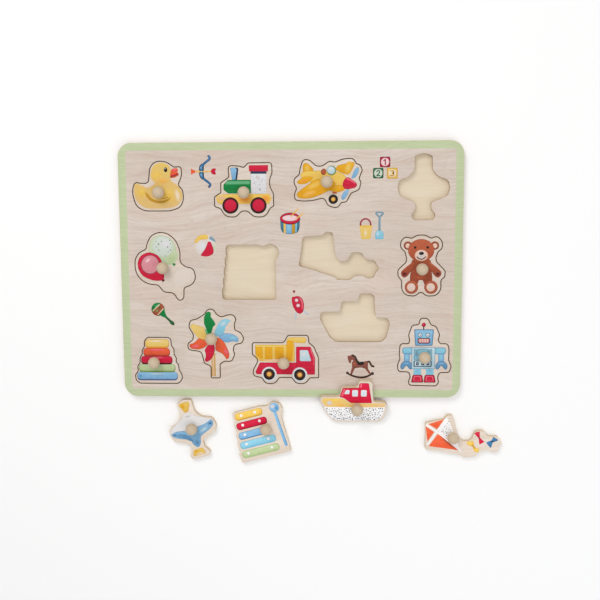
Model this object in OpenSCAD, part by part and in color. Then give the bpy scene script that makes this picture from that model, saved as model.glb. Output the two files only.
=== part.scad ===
// Peg puzzle: a picture board of two glued panels and thirteen toys cut from the face panel.
// Each toy is a flat plate with a turned knob. Nine toys sit in their recesses. Three lie on the
// floor in front of the board, and the boat leans on the board's front edge.
// The board lies face up, with the middle of its underside at the origin and its far edge at +Y.

/* [Board] */
// Width of the board
board_w = 400; // [394:1:440]
// Depth of the board, from its front edge to its far edge
board_d = 300; // [294:1:340]
// Radius of the board's corners
board_corner_r = 16; // [4:1:22]
// Thickness of the back panel
back_t = 3; // [2:0.5:5]
// Thickness of the face panel and of the toys cut from it
face_t = 6; // [5:0.5:9]
// Width of the saw cut round each toy
kerf = 0.9; // [0.5:0.1:1.3]

/* [Knobs] */
// Diameter of a knob's ball
knob_d = 14; // [11:0.5:17]
// Diameter of the waist under the ball
knob_waist_d = 6.8; // [6.4:0.1:9]
// Height of the waist above the toy
knob_waist_h = 1.3; // [0.8:0.1:1.4]
// Radius of the hollow that runs from the waist into the ball
knob_cove_r = 1.6; // [1.4:0.1:2.4]
// Diameter of the small flat on top of the ball
knob_flat_d = 4; // [2:0.5:6]
// Diameter of the tenon that is glued into the toy
tenon_d = 6; // [4:0.5:6]
// Length of the tenon
tenon_len = 4.5; // [3:0.5:4.5]
// Chamfer on the tenon's end
tenon_chamfer = 0.5; // [0.3:0.1:0.8]
// Glue gap round the tenon
glue_gap = 0.05; // [0.03:0.01:0.1]
// Glue space under the tenon
glue_space = 0.3; // [0.1:0.1:0.4]

/* [Top row of toys] */
// Width of the duck
duck_w = 60; // [54:0.5:64]
// Height of the duck
duck_h = 57.5; // [52:0.5:62]
// Width of the train
train_w = 69; // [62:0.5:74]
// Height of the train
train_h = 61.5; // [56:0.5:64]
// Width of the plane
plane_w = 78; // [70:0.5:82]
// Height of the plane
plane_h = 55.5; // [50:0.5:60]
// Width of the spinning top
spinning_top_w = 59.5; // [54:0.5:64]
// Height of the spinning top
spinning_top_h = 74; // [68:0.5:76]

/* [Middle row of toys] */
// Width of the balloons
balloons_w = 72; // [66:0.5:76]
// Height of the balloons
balloons_h = 80; // [74:0.5:84]
// Width of the xylophone
xylophone_w = 66; // [60:0.5:70]
// Height of the xylophone
xylophone_h = 65; // [60:0.5:70]
// Width of the kite with its tail
kite_w = 92.5; // [86:0.5:96]
// Height of the kite
kite_h = 54.5; // [50:0.5:58]
// Width of the bear
bear_w = 55.5; // [50:0.5:60]
// Height of the bear
bear_h = 70.5; // [66:0.5:74]

/* [Bottom row of toys] */
// Width of the boat
boat_w = 81.5; // [76:0.5:86]
// Height of the boat
boat_h = 56.5; // [52:0.5:60]
// Width of the stack of rings
rings_w = 56; // [52:0.5:58]
// Height of the stack of rings
rings_h = 55.5; // [50:0.5:58]
// Width of the pinwheel
pinwheel_w = 66; // [60:0.5:70]
// Height of the pinwheel
pinwheel_h = 82.5; // [76:0.5:84]
// Width of the truck
truck_w = 79; // [74:0.5:83]
// Height of the truck
truck_h = 58; // [54:0.5:62]
// Width of the robot
robot_w = 63; // [58:0.5:65]
// Height of the robot
robot_h = 80.5; // [76:0.5:82]

/* [Toys out of the board] */
// Gap from the board's front edge to the spinning top
spinning_top_gap = 5; // [2:1:30]
// Turn of the spinning top, anticlockwise
spinning_top_turn = 16; // [-20:1:30]
// Gap from the board's front edge to the xylophone
xylophone_gap = 7; // [2:1:30]
// Turn of the xylophone, anticlockwise
xylophone_turn = 15; // [-10:1:25]
// Gap from the board's front edge to the kite
kite_gap = 22; // [2:1:40]
// Turn of the kite, anticlockwise
kite_turn = 8; // [-10:1:20]
// How far in front of the board the leaning boat's keel stands
boat_reach = 29; // [24:1:36]
// Gap between the leaning boat and the board's edge
lean_gap = 0.3; // [0.2:0.1:0.5]

/* [Hidden] */
$fn = 48;

// Largest angle between two points of a rounded corner
arc_step = 12;
// Share of the shorter edge that the rounding of one corner may use up
corner_room_share = 0.49;
// Radius that the saw leaves at the sharpest corner
sharpest_r = 0.25;
// How far a cut runs past the surface that it opens
overrun = 1;

// Outlines, anticlockwise. Each corner is [share of the width, share of the height, radius as a
// share of the width], from the toy's middle. A corner with the full radius is as round as its
// edges allow.
full_share = 0.3;

duck_shares = [
    [-0.5, -0.18, full_share], [-0.44, -0.4, full_share], [-0.27, -0.49, full_share],
    [0.22, -0.49, full_share], [0.43, -0.42, full_share], [0.495, -0.24, full_share],
    [0.47, -0.07, 0.1], [0.385, 0.035, 0.06], [0.465, 0.22, full_share], [0.45, 0.4, 0.05],
    [0.31, 0.385, 0.08], [0.17, 0.5, full_share], [-0.04, 0.51, full_share],
    [-0.16, 0.39, full_share], [-0.175, 0.22, full_share], [-0.19, 0.065, 0.12],
    [-0.34, 0.065, full_share], [-0.45, 0.095, 0.1], [-0.505, -0.03, full_share]
];
train_shares = [
    [-0.505, -0.3, 0.03], [-0.405, -0.335, 0.1], [-0.32, -0.49, 0.14], [-0.145, -0.5, 0.12],
    [-0.05, -0.385, 0.09], [0.05, -0.385, 0.09], [0.16, -0.495, 0.14], [0.35, -0.5, 0.14],
    [0.44, -0.325, 0.08], [0.495, -0.295, 0.02], [0.49, -0.06, 0.08], [0.43, 0.07, 0.2],
    [0.425, 0.2, 0.2], [0.47, 0.32, 0.1], [0.465, 0.515, 0.05], [0.065, 0.51, 0.05],
    [0, 0.42, 0.06], [-0.09, 0.455, 0.08], [-0.26, 0.465, 0.05], [-0.265, 0.36, 0.06],
    [-0.25, 0.25, 0.06], [-0.395, 0.145, 0.03], [-0.395, -0.04, 0.04], [-0.505, -0.12, 0.03]
];
plane_shares = [
    [-0.495, -0.34, 0.06], [-0.36, -0.365, full_share], [-0.22, -0.35, full_share],
    [-0.06, -0.29, 0.06], [0, -0.47, 0.12], [0.14, -0.51, 0.08], [0.195, -0.395, 0.04],
    [0.27, -0.385, 0.05], [0.34, -0.2, 0.05], [0.46, -0.135, 0.07], [0.485, 0.02, 0.06],
    [0.455, 0.1, 0.04], [0.505, 0.27, 0.06], [0.475, 0.37, 0.06], [0.415, 0.405, 0.04],
    [0.37, 0.51, 0.08], [0.22, 0.505, full_share], [0.1, 0.43, 0.08], [0.02, 0.46, 0.1],
    [-0.09, 0.35, 0.12], [-0.18, 0.36, 0.08], [-0.27, 0.48, 0.1], [-0.37, 0.5, 0.06],
    [-0.415, 0.3, 0.1], [-0.425, 0.185, 0.05], [-0.5, 0.1, 0.06], [-0.505, 0.01, 0.08],
    [-0.465, -0.1, 0.05], [-0.5, -0.22, 0.1]
];
spinning_top_shares = [
    [-0.2, -0.505, 0.06], [0.18, -0.505, 0.06], [0.215, -0.43, 0.04], [0.13, -0.34, 0.06],
    [0.13, -0.235, 0.06], [0.44, -0.135, 0.09], [0.49, -0.02, 0.12], [0.455, 0.1, 0.1],
    [0.24, 0.165, 0.2], [0.145, 0.27, 0.12], [0.145, 0.475, 0.04], [-0.02, 0.515, 0.2],
    [-0.18, 0.475, 0.04], [-0.18, 0.27, 0.12], [-0.27, 0.165, 0.2], [-0.48, 0.1, 0.1],
    [-0.505, -0.02, 0.12], [-0.46, -0.135, 0.09], [-0.16, -0.235, 0.06], [-0.16, -0.34, 0.06],
    [-0.235, -0.43, 0.04]
];
balloons_shares = [
    [-0.505, -0.05, full_share], [-0.43, -0.18, full_share], [-0.29, -0.255, full_share],
    [-0.13, -0.265, 0.1], [-0.04, -0.37, 0.1], [0.12, -0.385, 0.08], [0.21, -0.505, 0.07],
    [0.29, -0.47, 0.08], [0.295, -0.305, 0.06], [0.43, -0.265, full_share],
    [0.495, -0.17, full_share], [0.46, -0.02, 0.15], [0.32, 0, 0.2], [0.235, 0.075, 0.12],
    [0.245, 0.23, full_share], [0.18, 0.39, full_share], [0.05, 0.49, full_share],
    [-0.09, 0.515, full_share], [-0.23, 0.46, full_share], [-0.295, 0.35, full_share],
    [-0.315, 0.26, 0.07], [-0.43, 0.21, 0.12], [-0.5, 0.12, full_share]
];
kite_shares = [
    [-0.505, -0.205, 0.03], [-0.35, -0.27, 0.1], [-0.19, -0.365, 0.1], [-0.06, -0.43, 0.05],
    [-0.02, -0.5, 0.03], [0.13, -0.505, 0.03], [0.2, -0.42, 0.04], [0.29, -0.4, 0.05],
    [0.36, -0.47, 0.04], [0.43, -0.46, 0.03], [0.46, -0.34, 0.03], [0.5, -0.28, 0.03],
    [0.445, -0.1, 0.05], [0.33, -0.085, 0.06], [0.28, 0.07, 0.05], [0.17, 0.08, 0.06],
    [0.1, -0.12, 0.06], [-0.01, -0.12, 0.06], [-0.055, 0.06, full_share], [-0.085, 0.5, 0.03],
    [-0.165, 0.51, 0.03], [-0.2, 0.435, 0.05], [-0.455, 0.405, 0.03], [-0.465, 0.2, 0.2]
];
bear_shares = [
    [-0.42, -0.25, 0.08], [-0.42, -0.4, 0.2], [-0.33, -0.49, 0.15], [-0.13, -0.505, 0.15],
    [-0.02, -0.42, 0.08], [0.1, -0.505, 0.15], [0.3, -0.495, 0.15], [0.405, -0.4, 0.2],
    [0.395, -0.235, 0.08], [0.475, -0.19, 0.08], [0.49, -0.09, 0.1], [0.3, 0.065, 0.1],
    [0.285, 0.13, 0.1], [0.325, 0.225, 0.04], [0.42, 0.29, 0.12], [0.415, 0.4, 0.15],
    [0.31, 0.49, 0.15], [0.18, 0.45, 0.07], [0.07, 0.505, full_share], [-0.11, 0.505, full_share],
    [-0.22, 0.45, 0.07], [-0.36, 0.48, 0.15], [-0.45, 0.4, 0.15], [-0.45, 0.295, 0.12],
    [-0.36, 0.235, 0.06], [-0.32, 0.12, 0.1], [-0.335, 0.055, 0.08], [-0.505, -0.07, 0.1],
    [-0.495, -0.175, 0.08]
];
boat_shares = [
    [-0.36, -0.4, 0.1], [-0.27, -0.495, 0.12], [0.38, -0.495, 0.1], [0.445, -0.4, 0.1],
    [0.495, -0.11, 0.08], [0.46, -0.005, 0.05], [0.29, 0.01, 0.03], [0.27, 0.3, full_share],
    [0.275, 0.505, 0.07], [0.07, 0.51, 0.04], [0.045, 0.35, 0.04], [-0.19, 0.345, 0.04],
    [-0.21, 0.125, 0.05], [-0.5, 0.125, 0.06], [-0.495, -0.03, 0.05]
];
rings_shares = [
    [-0.455, -0.225, 0.06], [-0.52, -0.31, 0.08], [-0.505, -0.43, 0.1], [-0.42, -0.495, 0.08],
    [0.41, -0.495, 0.08], [0.495, -0.39, 0.1], [0.48, -0.29, 0.08], [0.425, -0.2, 0.06],
    [0.415, -0.09, 0.06], [0.365, -0.02, 0.05], [0.37, 0.06, 0.05], [0.325, 0.14, 0.06],
    [0.325, 0.25, 0.06], [0.27, 0.335, 0.06], [0.26, 0.47, 0.06], [0.2, 0.51, 0.05],
    [-0.24, 0.51, 0.06], [-0.305, 0.43, 0.06], [-0.31, 0.31, 0.06], [-0.36, 0.22, 0.06],
    [-0.36, 0.14, 0.06], [-0.41, 0.06, 0.05], [-0.41, -0.04, 0.05], [-0.465, -0.12, 0.05]
];
pinwheel_shares = [
    [-0.1, -0.495, 0.025], [0.065, -0.495, 0.02], [0.065, -0.29, 0.06], [0.14, -0.25, 0.06],
    [0.28, -0.25, 0.07], [0.335, -0.15, 0.08], [0.31, -0.09, 0.06], [0.325, -0.005, 0.08],
    [0.46, 0.015, 0.06], [0.505, 0.085, 0.07], [0.45, 0.165, 0.1], [0.335, 0.21, 0.06],
    [0.335, 0.3, 0.1], [0.37, 0.36, 0.07], [0.32, 0.43, 0.08], [0.21, 0.425, 0.15],
    [0.1, 0.39, 0.1], [0.02, 0.43, 0.1], [-0.04, 0.505, 0.08], [-0.14, 0.51, 0.08],
    [-0.2, 0.435, 0.1], [-0.34, 0.365, 0.15], [-0.46, 0.345, 0.07], [-0.49, 0.25, 0.08],
    [-0.405, 0.14, 0.1], [-0.42, 0.06, 0.07], [-0.51, 0.01, 0.05], [-0.51, -0.08, 0.06],
    [-0.27, -0.11, 0.08], [-0.235, -0.22, 0.1], [-0.22, -0.28, 0.05], [-0.1, -0.32, 0.05]
];
truck_shares = [
    [-0.5, -0.33, 0.06], [-0.36, -0.375, 0.06], [-0.31, -0.495, 0.1], [-0.17, -0.495, 0.1],
    [-0.1, -0.365, 0.05], [0.09, -0.365, 0.05], [0.15, -0.49, 0.1], [0.29, -0.495, 0.1],
    [0.36, -0.37, 0.05], [0.49, -0.37, 0.01], [0.49, 0.05, 0.1], [0.42, 0.27, 0.05],
    [0.345, 0.36, 0.04], [0.335, 0.51, 0.04], [0.03, 0.51, 0.05], [-0.03, 0.355, 0.06],
    [-0.505, 0.355, 0.03], [-0.505, 0.115, 0.03], [-0.435, 0.03, 0.05], [-0.425, -0.04, 0.05],
    [-0.49, -0.2, 0.1]
];
robot_shares = [
    [-0.285, -0.485, 0.07], [0.22, -0.495, 0.08], [0.265, -0.44, 0.06], [0.245, -0.37, 0.06],
    [0.27, -0.295, 0.06], [0.46, -0.29, 0.05], [0.495, -0.2, 0.07], [0.445, -0.11, 0.08],
    [0.45, 0.05, 0.1], [0.425, 0.135, 0.06], [0.28, 0.135, 0.06], [0.245, 0.185, 0.05],
    [0.27, 0.27, 0.06], [0.2, 0.395, 0.08], [0.11, 0.41, 0.06], [0.05, 0.51, 0.08],
    [-0.09, 0.51, 0.06], [-0.115, 0.42, 0.04], [-0.24, 0.405, 0.06], [-0.305, 0.26, 0.08],
    [-0.285, 0.19, 0.04], [-0.295, 0.135, 0.03], [-0.46, 0.135, 0.06], [-0.475, -0.02, 0.1],
    [-0.46, -0.09, 0.06], [-0.505, -0.18, 0.07], [-0.495, -0.28, 0.06], [-0.29, -0.285, 0.06],
    [-0.265, -0.36, 0.06], [-0.295, -0.42, 0.08]
];

// The xylophone's left side swells a little at the end of each of its bars
xylophone_bars = 5;
bars_top_share = 0.38;
bar_pitch_share = 0.185;
bar_swell_share = 0.055;
bars_left_top_share = 0.435;
bars_spread_share = 0.075;
bar_dip_share = 0.018;
swell_r_share = 0.06;
dip_r_share = 0.05;
swell_shares = [
    for (i = [0 : xylophone_bars - 1])
        let (
            y = bars_top_share - bar_pitch_share * i,
            x = -bars_left_top_share - bars_spread_share * i / (xylophone_bars - 1),
            dip = [x + bar_dip_share, y - bar_pitch_share / 2, dip_r_share],
            swell = [
                [x, y + bar_swell_share, swell_r_share],
                [x, y - bar_swell_share, swell_r_share]
            ]
        )
        each i < xylophone_bars - 1 ? concat(swell, [dip]) : swell
];
xylophone_shares = concat(
    [
        [-0.5, -0.495, 0.07], [0.445, -0.495, 0.03], [0.435, 0.19, 0.1], [0.5, 0.33, 0.08],
        [0.48, 0.43, 0.08], [0.37, 0.515, 0.1], [0.23, 0.455, 0.08], [0.1, 0.485, 0.1],
        [-0.41, 0.485, 0.07]
    ],
    swell_shares
);

// Places of the knobs, as shares of the toy's width and height from its middle
duck_knob_share = [0.025, -0.12];
train_knob_share = [0, -0.04];
plane_knob_share = [-0.02, 0.03];
spinning_top_knob_share = [0, 0.02];
balloons_knob_share = [-0.03, -0.01];
xylophone_knob_share = [0.11, 0.05];
kite_knob_share = [-0.13, 0.02];
bear_knob_share = [-0.01, -0.05];
boat_knob_share = [0.045, -0.11];
rings_knob_share = [-0.08, -0.02];
pinwheel_knob_share = [-0.07, 0.09];
truck_knob_share = [-0.03, -0.045];
robot_knob_share = [-0.015, -0.055];

// Places of the recesses, as shares of the board's width and depth from its middle
duck_place_share = [-0.383, 0.3315];
train_place_share = [-0.132, 0.315];
plane_place_share = [0.111, 0.34];
spinning_top_place_share = [0.387, 0.3245];
balloons_place_share = [-0.3675, 0.019];
xylophone_place_share = [-0.116, -0.001];
kite_place_share = [0.1425, 0.0605];
bear_place_share = [0.3835, 0.022];
boat_place_share = [0.19, -0.183];
rings_place_share = [-0.394, -0.3555];
pinwheel_place_share = [-0.222, -0.288];
truck_place_share = [-0.0145, -0.3505];
robot_place_share = [0.395, -0.3205];

// Each toy: width, height, outline, place of its knob and place of its recess
duck = [duck_w, duck_h, duck_shares, duck_knob_share, duck_place_share];
train = [train_w, train_h, train_shares, train_knob_share, train_place_share];
plane = [plane_w, plane_h, plane_shares, plane_knob_share, plane_place_share];
spinning_top = [
    spinning_top_w, spinning_top_h, spinning_top_shares,
    spinning_top_knob_share, spinning_top_place_share
];
balloons = [balloons_w, balloons_h, balloons_shares, balloons_knob_share, balloons_place_share];
xylophone = [xylophone_w, xylophone_h, xylophone_shares, xylophone_knob_share, xylophone_place_share];
kite = [kite_w, kite_h, kite_shares, kite_knob_share, kite_place_share];
bear = [bear_w, bear_h, bear_shares, bear_knob_share, bear_place_share];
boat = [boat_w, boat_h, boat_shares, boat_knob_share, boat_place_share];
rings = [rings_w, rings_h, rings_shares, rings_knob_share, rings_place_share];
pinwheel = [pinwheel_w, pinwheel_h, pinwheel_shares, pinwheel_knob_share, pinwheel_place_share];
truck = [truck_w, truck_h, truck_shares, truck_knob_share, truck_place_share];
robot = [robot_w, robot_h, robot_shares, robot_knob_share, robot_place_share];
toys = [
    duck, train, plane, spinning_top, balloons, xylophone, kite, bear, boat, rings, pinwheel,
    truck, robot
];

// Where the four loose toys lie along the board's width
spinning_top_along_share = -0.298;
xylophone_along_share = -0.091;
boat_along_share = 0.187;
kite_along_share = 0.511;

function scaled(size, share) = [size[0] * share[0], size[1] * share[1]];
function knob_place(toy) = scaled(toy, toy[3]);
function recess_place(toy) = scaled([board_w, board_d], toy[4]);
function unit(v) = v / norm(v);
function left_of(v) = [-v[1], v[0]];
function heading(a) = [cos(a), sin(a)];
function stops(from, to) =
    let (steps = max(1, ceil(abs(to - from) / arc_step)))
    [for (j = [0 : steps]) from + (to - from) * j / steps];

// The arc that rounds the corner at here. A cut on the inside of the line has a positive inset.
function corner_arc(before, here, after, r_wanted, inset) =
    let (
        a = unit(here - before),
        b = unit(after - here),
        bend = atan2(cross(a, b), a * b),
        room = corner_room_share * min(norm(here - before), norm(after - here)) / tan(abs(bend) / 2),
        r = sign(bend) * max(min(r_wanted, room), kerf / 2 + sharpest_r),
        centre = here + (left_of(a) + left_of(b)) * r / (1 + a * b),
        start = atan2(a[1], a[0])
    )
    [for (turned = stops(start, start + bend)) centre - left_of(heading(turned)) * (r - inset)];

// All the rounded corners in turn. Each corner is [x, y, radius].
function rounded(corners, inset) =
    let (n = len(corners), p = [for (c = corners) [c[0], c[1]]])
    [
        for (i = [0 : n - 1])
            each corner_arc(p[(i + n - 1) % n], p[i], p[(i + 1) % n], corners[i][2], inset)
    ];

function toy_outline(toy, inset) =
    rounded([for (c = toy[2]) [toy[0] * c[0], toy[1] * c[1], toy[0] * c[2]]], inset);
function plate_outline(toy) = toy_outline(toy, kerf / 2);
function recess_outline(toy) = toy_outline(toy, -kerf / 2);

board_outline = rounded(
    [
        for (side = [[-1, -1], [1, -1], [1, 1], [-1, 1]])
            [side[0] * board_w / 2, side[1] * board_d / 2, board_corner_r]
    ],
    0
);
board_front_y = -board_d / 2;
board_t = back_t + face_t;

// A loose toy lies with its nearest point one gap in front of the board
function farthest_y(toy, turn) =
    max([for (p = plate_outline(toy)) p[0] * sin(turn) + p[1] * cos(turn)]);
function floor_place(toy, along_share, gap, turn) =
    [along_share * board_w, board_front_y - gap - farthest_y(toy, turn), 0];

// The boat's keel stands on the floor and its underside passes the board's edge at the lean gap
lean_run = norm([boat_reach, board_t]);
lean_angle = atan(board_t / boat_reach) + asin(lean_gap / lean_run);
keel_y = min([for (p = plate_outline(boat)) p[1]]);

// The knob's profile, from the end of its tenon to the flat on its top
knob_r = knob_d / 2;
tenon_r = tenon_d / 2;
hole_depth = tenon_len + glue_space;
cove_x = knob_waist_d / 2 + knob_cove_r;
meet_angle = acos(cove_x / (knob_r + knob_cove_r));
foot_angle = asin(min(1, knob_waist_h / knob_cove_r));
flat_angle = acos(knob_flat_d / knob_d);
ball_z = knob_waist_h + (knob_r + knob_cove_r) * sin(meet_angle);
ball_stops = stops(-meet_angle, flat_angle);
knob_profile = concat(
    [
        [0, -tenon_len],
        [tenon_r - tenon_chamfer, -tenon_len],
        [tenon_r, -tenon_len + tenon_chamfer],
        [tenon_r, 0]
    ],
    [
        for (a = stops(-foot_angle, meet_angle))
            [cove_x - knob_cove_r * cos(a), knob_waist_h + knob_cove_r * sin(a)]
    ],
    [
        for (i = [1 : len(ball_stops) - 1])
            [knob_r * cos(ball_stops[i]), ball_z + knob_r * sin(ball_stops[i])]
    ],
    [[0, ball_z + knob_r * sin(flat_angle)]]
);

module plate(toy) {
    difference() {
        linear_extrude(face_t) polygon(plate_outline(toy));
        translate(concat(knob_place(toy), face_t - hole_depth))
            cylinder(d = tenon_d + 2 * glue_gap, h = hole_depth + overrun);
    }
}

module knob(toy) {
    translate(concat(knob_place(toy), face_t)) rotate_extrude() polygon(knob_profile);
}

module in_recess(toy) {
    translate(concat(recess_place(toy), back_t)) children();
}

module on_floor(toy, along_share, gap, turn) {
    translate(floor_place(toy, along_share, gap, turn)) rotate([0, 0, turn]) children();
}

module leaning() {
    translate([boat_along_share * board_w, board_front_y - boat_reach, 0])
        rotate([lean_angle, 0, 0])
            translate([0, -keel_y, 0]) children();
}

module back_panel() {
    color("wheat") linear_extrude(back_t) polygon(board_outline);
}

module face_panel() {
    color("bisque") translate([0, 0, back_t]) linear_extrude(face_t) difference() {
        polygon(board_outline);
        for (toy = toys) translate(recess_place(toy)) polygon(recess_outline(toy));
    }
}

module duck_plate() { color("gold") in_recess(duck) plate(duck); }
module duck_knob() { color("burlywood") in_recess(duck) knob(duck); }

module train_plate() { color("seagreen") in_recess(train) plate(train); }
module train_knob() { color("burlywood") in_recess(train) knob(train); }

module plane_plate() { color("goldenrod") in_recess(plane) plate(plane); }
module plane_knob() { color("burlywood") in_recess(plane) knob(plane); }

module beside_left() {
    on_floor(spinning_top, spinning_top_along_share, spinning_top_gap, spinning_top_turn) children();
}
module spinning_top_plate() { color("steelblue") beside_left() plate(spinning_top); }
module spinning_top_knob() { color("burlywood") beside_left() knob(spinning_top); }

module balloons_plate() { color("crimson") in_recess(balloons) plate(balloons); }
module balloons_knob() { color("burlywood") in_recess(balloons) knob(balloons); }

module beside_middle() {
    on_floor(xylophone, xylophone_along_share, xylophone_gap, xylophone_turn) children();
}
module xylophone_plate() { color("wheat") beside_middle() plate(xylophone); }
module xylophone_knob() { color("burlywood") beside_middle() knob(xylophone); }

module beside_right() {
    on_floor(kite, kite_along_share, kite_gap, kite_turn) children();
}
module kite_plate() { color("tomato") beside_right() plate(kite); }
module kite_knob() { color("burlywood") beside_right() knob(kite); }

module bear_plate() { color("sienna") in_recess(bear) plate(bear); }
module bear_knob() { color("burlywood") in_recess(bear) knob(bear); }

module boat_plate() { color("firebrick") leaning() plate(boat); }
module boat_knob() { color("burlywood") leaning() knob(boat); }

module rings_plate() { color("orangered") in_recess(rings) plate(rings); }
module rings_knob() { color("burlywood") in_recess(rings) knob(rings); }

module pinwheel_plate() { color("orange") in_recess(pinwheel) plate(pinwheel); }
module pinwheel_knob() { color("burlywood") in_recess(pinwheel) knob(pinwheel); }

module truck_plate() { color("red") in_recess(truck) plate(truck); }
module truck_knob() { color("burlywood") in_recess(truck) knob(truck); }

module robot_plate() { color("skyblue") in_recess(robot) plate(robot); }
module robot_knob() { color("burlywood") in_recess(robot) knob(robot); }

back_panel();
face_panel();
duck_plate();
duck_knob();
train_plate();
train_knob();
plane_plate();
plane_knob();
spinning_top_plate();
spinning_top_knob();
balloons_plate();
balloons_knob();
xylophone_plate();
xylophone_knob();
kite_plate();
kite_knob();
bear_plate();
bear_knob();
boat_plate();
boat_knob();
rings_plate();
rings_knob();
pinwheel_plate();
pinwheel_knob();
truck_plate();
truck_knob();
robot_plate();
robot_knob();
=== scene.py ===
"""Finish of a wooden peg puzzle: veneered board, sawn toys, turned knobs and pictures in ink."""
import math

import bmesh
import bpy
import numpy
from mathutils import Euler, Matrix, Vector


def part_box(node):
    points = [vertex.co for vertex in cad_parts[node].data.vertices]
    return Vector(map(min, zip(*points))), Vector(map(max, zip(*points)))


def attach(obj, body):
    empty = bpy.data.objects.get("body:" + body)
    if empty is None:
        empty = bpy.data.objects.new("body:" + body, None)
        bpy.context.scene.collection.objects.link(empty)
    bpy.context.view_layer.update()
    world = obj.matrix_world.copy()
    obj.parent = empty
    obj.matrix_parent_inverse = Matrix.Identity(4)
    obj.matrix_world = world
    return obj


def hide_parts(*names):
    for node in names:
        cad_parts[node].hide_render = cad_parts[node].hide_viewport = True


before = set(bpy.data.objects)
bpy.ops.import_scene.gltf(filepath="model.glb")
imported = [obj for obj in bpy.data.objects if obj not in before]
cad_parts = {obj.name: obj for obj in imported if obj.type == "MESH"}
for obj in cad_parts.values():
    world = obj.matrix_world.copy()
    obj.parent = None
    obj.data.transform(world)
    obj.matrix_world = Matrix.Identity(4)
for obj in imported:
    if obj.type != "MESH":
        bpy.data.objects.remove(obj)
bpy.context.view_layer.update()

MM = 0.001
UP = Vector((0, 0, 1))

TOYS = (
    "duck", "train", "plane", "spinning_top", "balloons", "xylophone", "kite", "bear", "boat",
    "rings", "pinwheel", "truck", "robot",
)
# Turn of each toy that lies out of the board, anticlockwise
TURN = {
    "spinning_top": math.radians(16),
    "xylophone": math.radians(15),
    "kite": math.radians(8),
    "boat": 0,
}

# Painted light: the inks on these toys are made brighter by a gain, as these toys lie in the open light
PAINTED_LIGHT_TOYS = ("xylophone", "kite", "boat")
PAINTED_LIGHT_GAIN = 1.1

BOARD_SHEETS = ("face_panel", "back_panel")
# Which skin of a sheet goes on its cuts, on the board's outside edge and in its kerfs, the last darkened
# with painted shade
CUT_SKIN, OUTER_SKIN, KERF_SKIN = 1, 2, 3

# Cosines between a face and a side: flat to it, flat enough for its skin, turned away, looking up
RIM_FACE = 0.99
SKIN_FACE = 0.97
TURNED_AWAY = 0.5
LOOKS_UP = 0.5

# Sanded rims
RIM_R = 0.24 * MM
RIM_STEPS = 2
JOIN_WITHIN = 0.002 * MM
FLAT_WITHIN = math.radians(0.5)
SHARP_FROM = math.radians(35)

# Each loose toy has its own patch of the grain: their distance and how far up the sheet they lie
PATCH_STEP = 40 * MM
PATCH_Y = 70 * MM
# The knobs come from one log, each turned on by the golden angle
LOG_TURN = 2.4
# How far a seated toy's box is widened to find the walls of the kerf round it, which take the skin with
# painted shade
KERF_REACH = 2 * MM

# Ink film: how far it sinks in, how thick it stands, and how much a later shape lies above
INK_SUNK = 0.03 * MM
INK_T = 0.03 * MM
INK_STEP = 0.012 * MM
# Darker rim of each inked shape: its widest, and its share of the shape's narrow side
INK_RIM = 0.9 * MM
INK_RIM_SHARE = 0.17
LEAST_RIM = 0.12 * MM
# How far the heart of a fading tint reaches from its middle, or is drawn in where the outline bends
FADE_SHARE = 0.25
# Sides of a small oval, of a larger one and where the larger begin
FEW_SIDES, MANY_SIDES = 16, 36
LARGE_OVAL_R = 2 * MM
# Steps of an arc and of the round end of a stroke
ARC_STEPS = 16
END_STEPS = 6
# A rounded corner takes at most this share of each of its sides
SIDE_SHARE = 0.45
# Moving an outline inwards: the shares of the depth to try, the limit at a sharp corner, and the
# share of the depth that has to stay clear
DEPTH_TRIES = (1, 0.6, 0.35)
SHARP_LIMIT = 0.4
CLEAR_SHARE = 0.8

# A toy's picture is drawn in thousandths of its plate, one on the board in tenths of a millimetre
PLATE_STEPS = 1000
BOARD_STEP = 0.1 * MM

# Specks: their level of ink, their sides, their least and greatest size, and how many are tried
SPECK_LEVEL = 3
SPECK_SIDES = 10
SPECK_SIZES = (0.55, 1.15)
SPECK_TRIES = 5

# Green band round the board's face
BAND_W = 9.2 * MM
BAND_CORNER_R = 2.5 * MM
BAND_BLUR = 0.3 * MM
BAND_COVER = 0.92

# The wave texture repeats after this length at a scale of one
WAVE_PERIOD = math.pi / 10

# Camera, in metres, degrees and millimetres of lens
CAMERA_AT = (0.0502, 0.0807, 0.9417)
CAMERA_TURNS = (-6.985, 2.355, -0.286)
LENS, SENSOR_W = 48, 36
# Sky and floor
SKY_STRENGTH = 0.53
FLOOR_REACH = 3
FLOOR_DROP = 0.05 * MM


def linear(code):
    """A colour code such as #D9C8BD as linear red, green, blue and alpha."""
    parts = [int(code[i:i + 2], 16) / 255 for i in (1, 3, 5)]
    return [p / 12.92 if p <= 0.04045 else ((p + 0.055) / 1.055) ** 2.4 for p in parts] + [1]


# Materials

class Nodes:
    """The nodes of a tree and the links between them."""

    def __init__(self, tree):
        self.nodes, self.links = tree.nodes, tree.links

    def add(self, kind, inputs=None, **settings):
        """A new node with its settings and with values or links for its inputs."""
        node = self.nodes.new(kind)
        for key, value in settings.items():
            setattr(node, key, value)
        for key, value in (inputs or {}).items():
            self.feed(node.inputs[key], value)
        return node

    def feed(self, socket, value):
        if isinstance(value, bpy.types.NodeSocket):
            self.links.new(value, socket)
        else:
            socket.default_value = value


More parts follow.
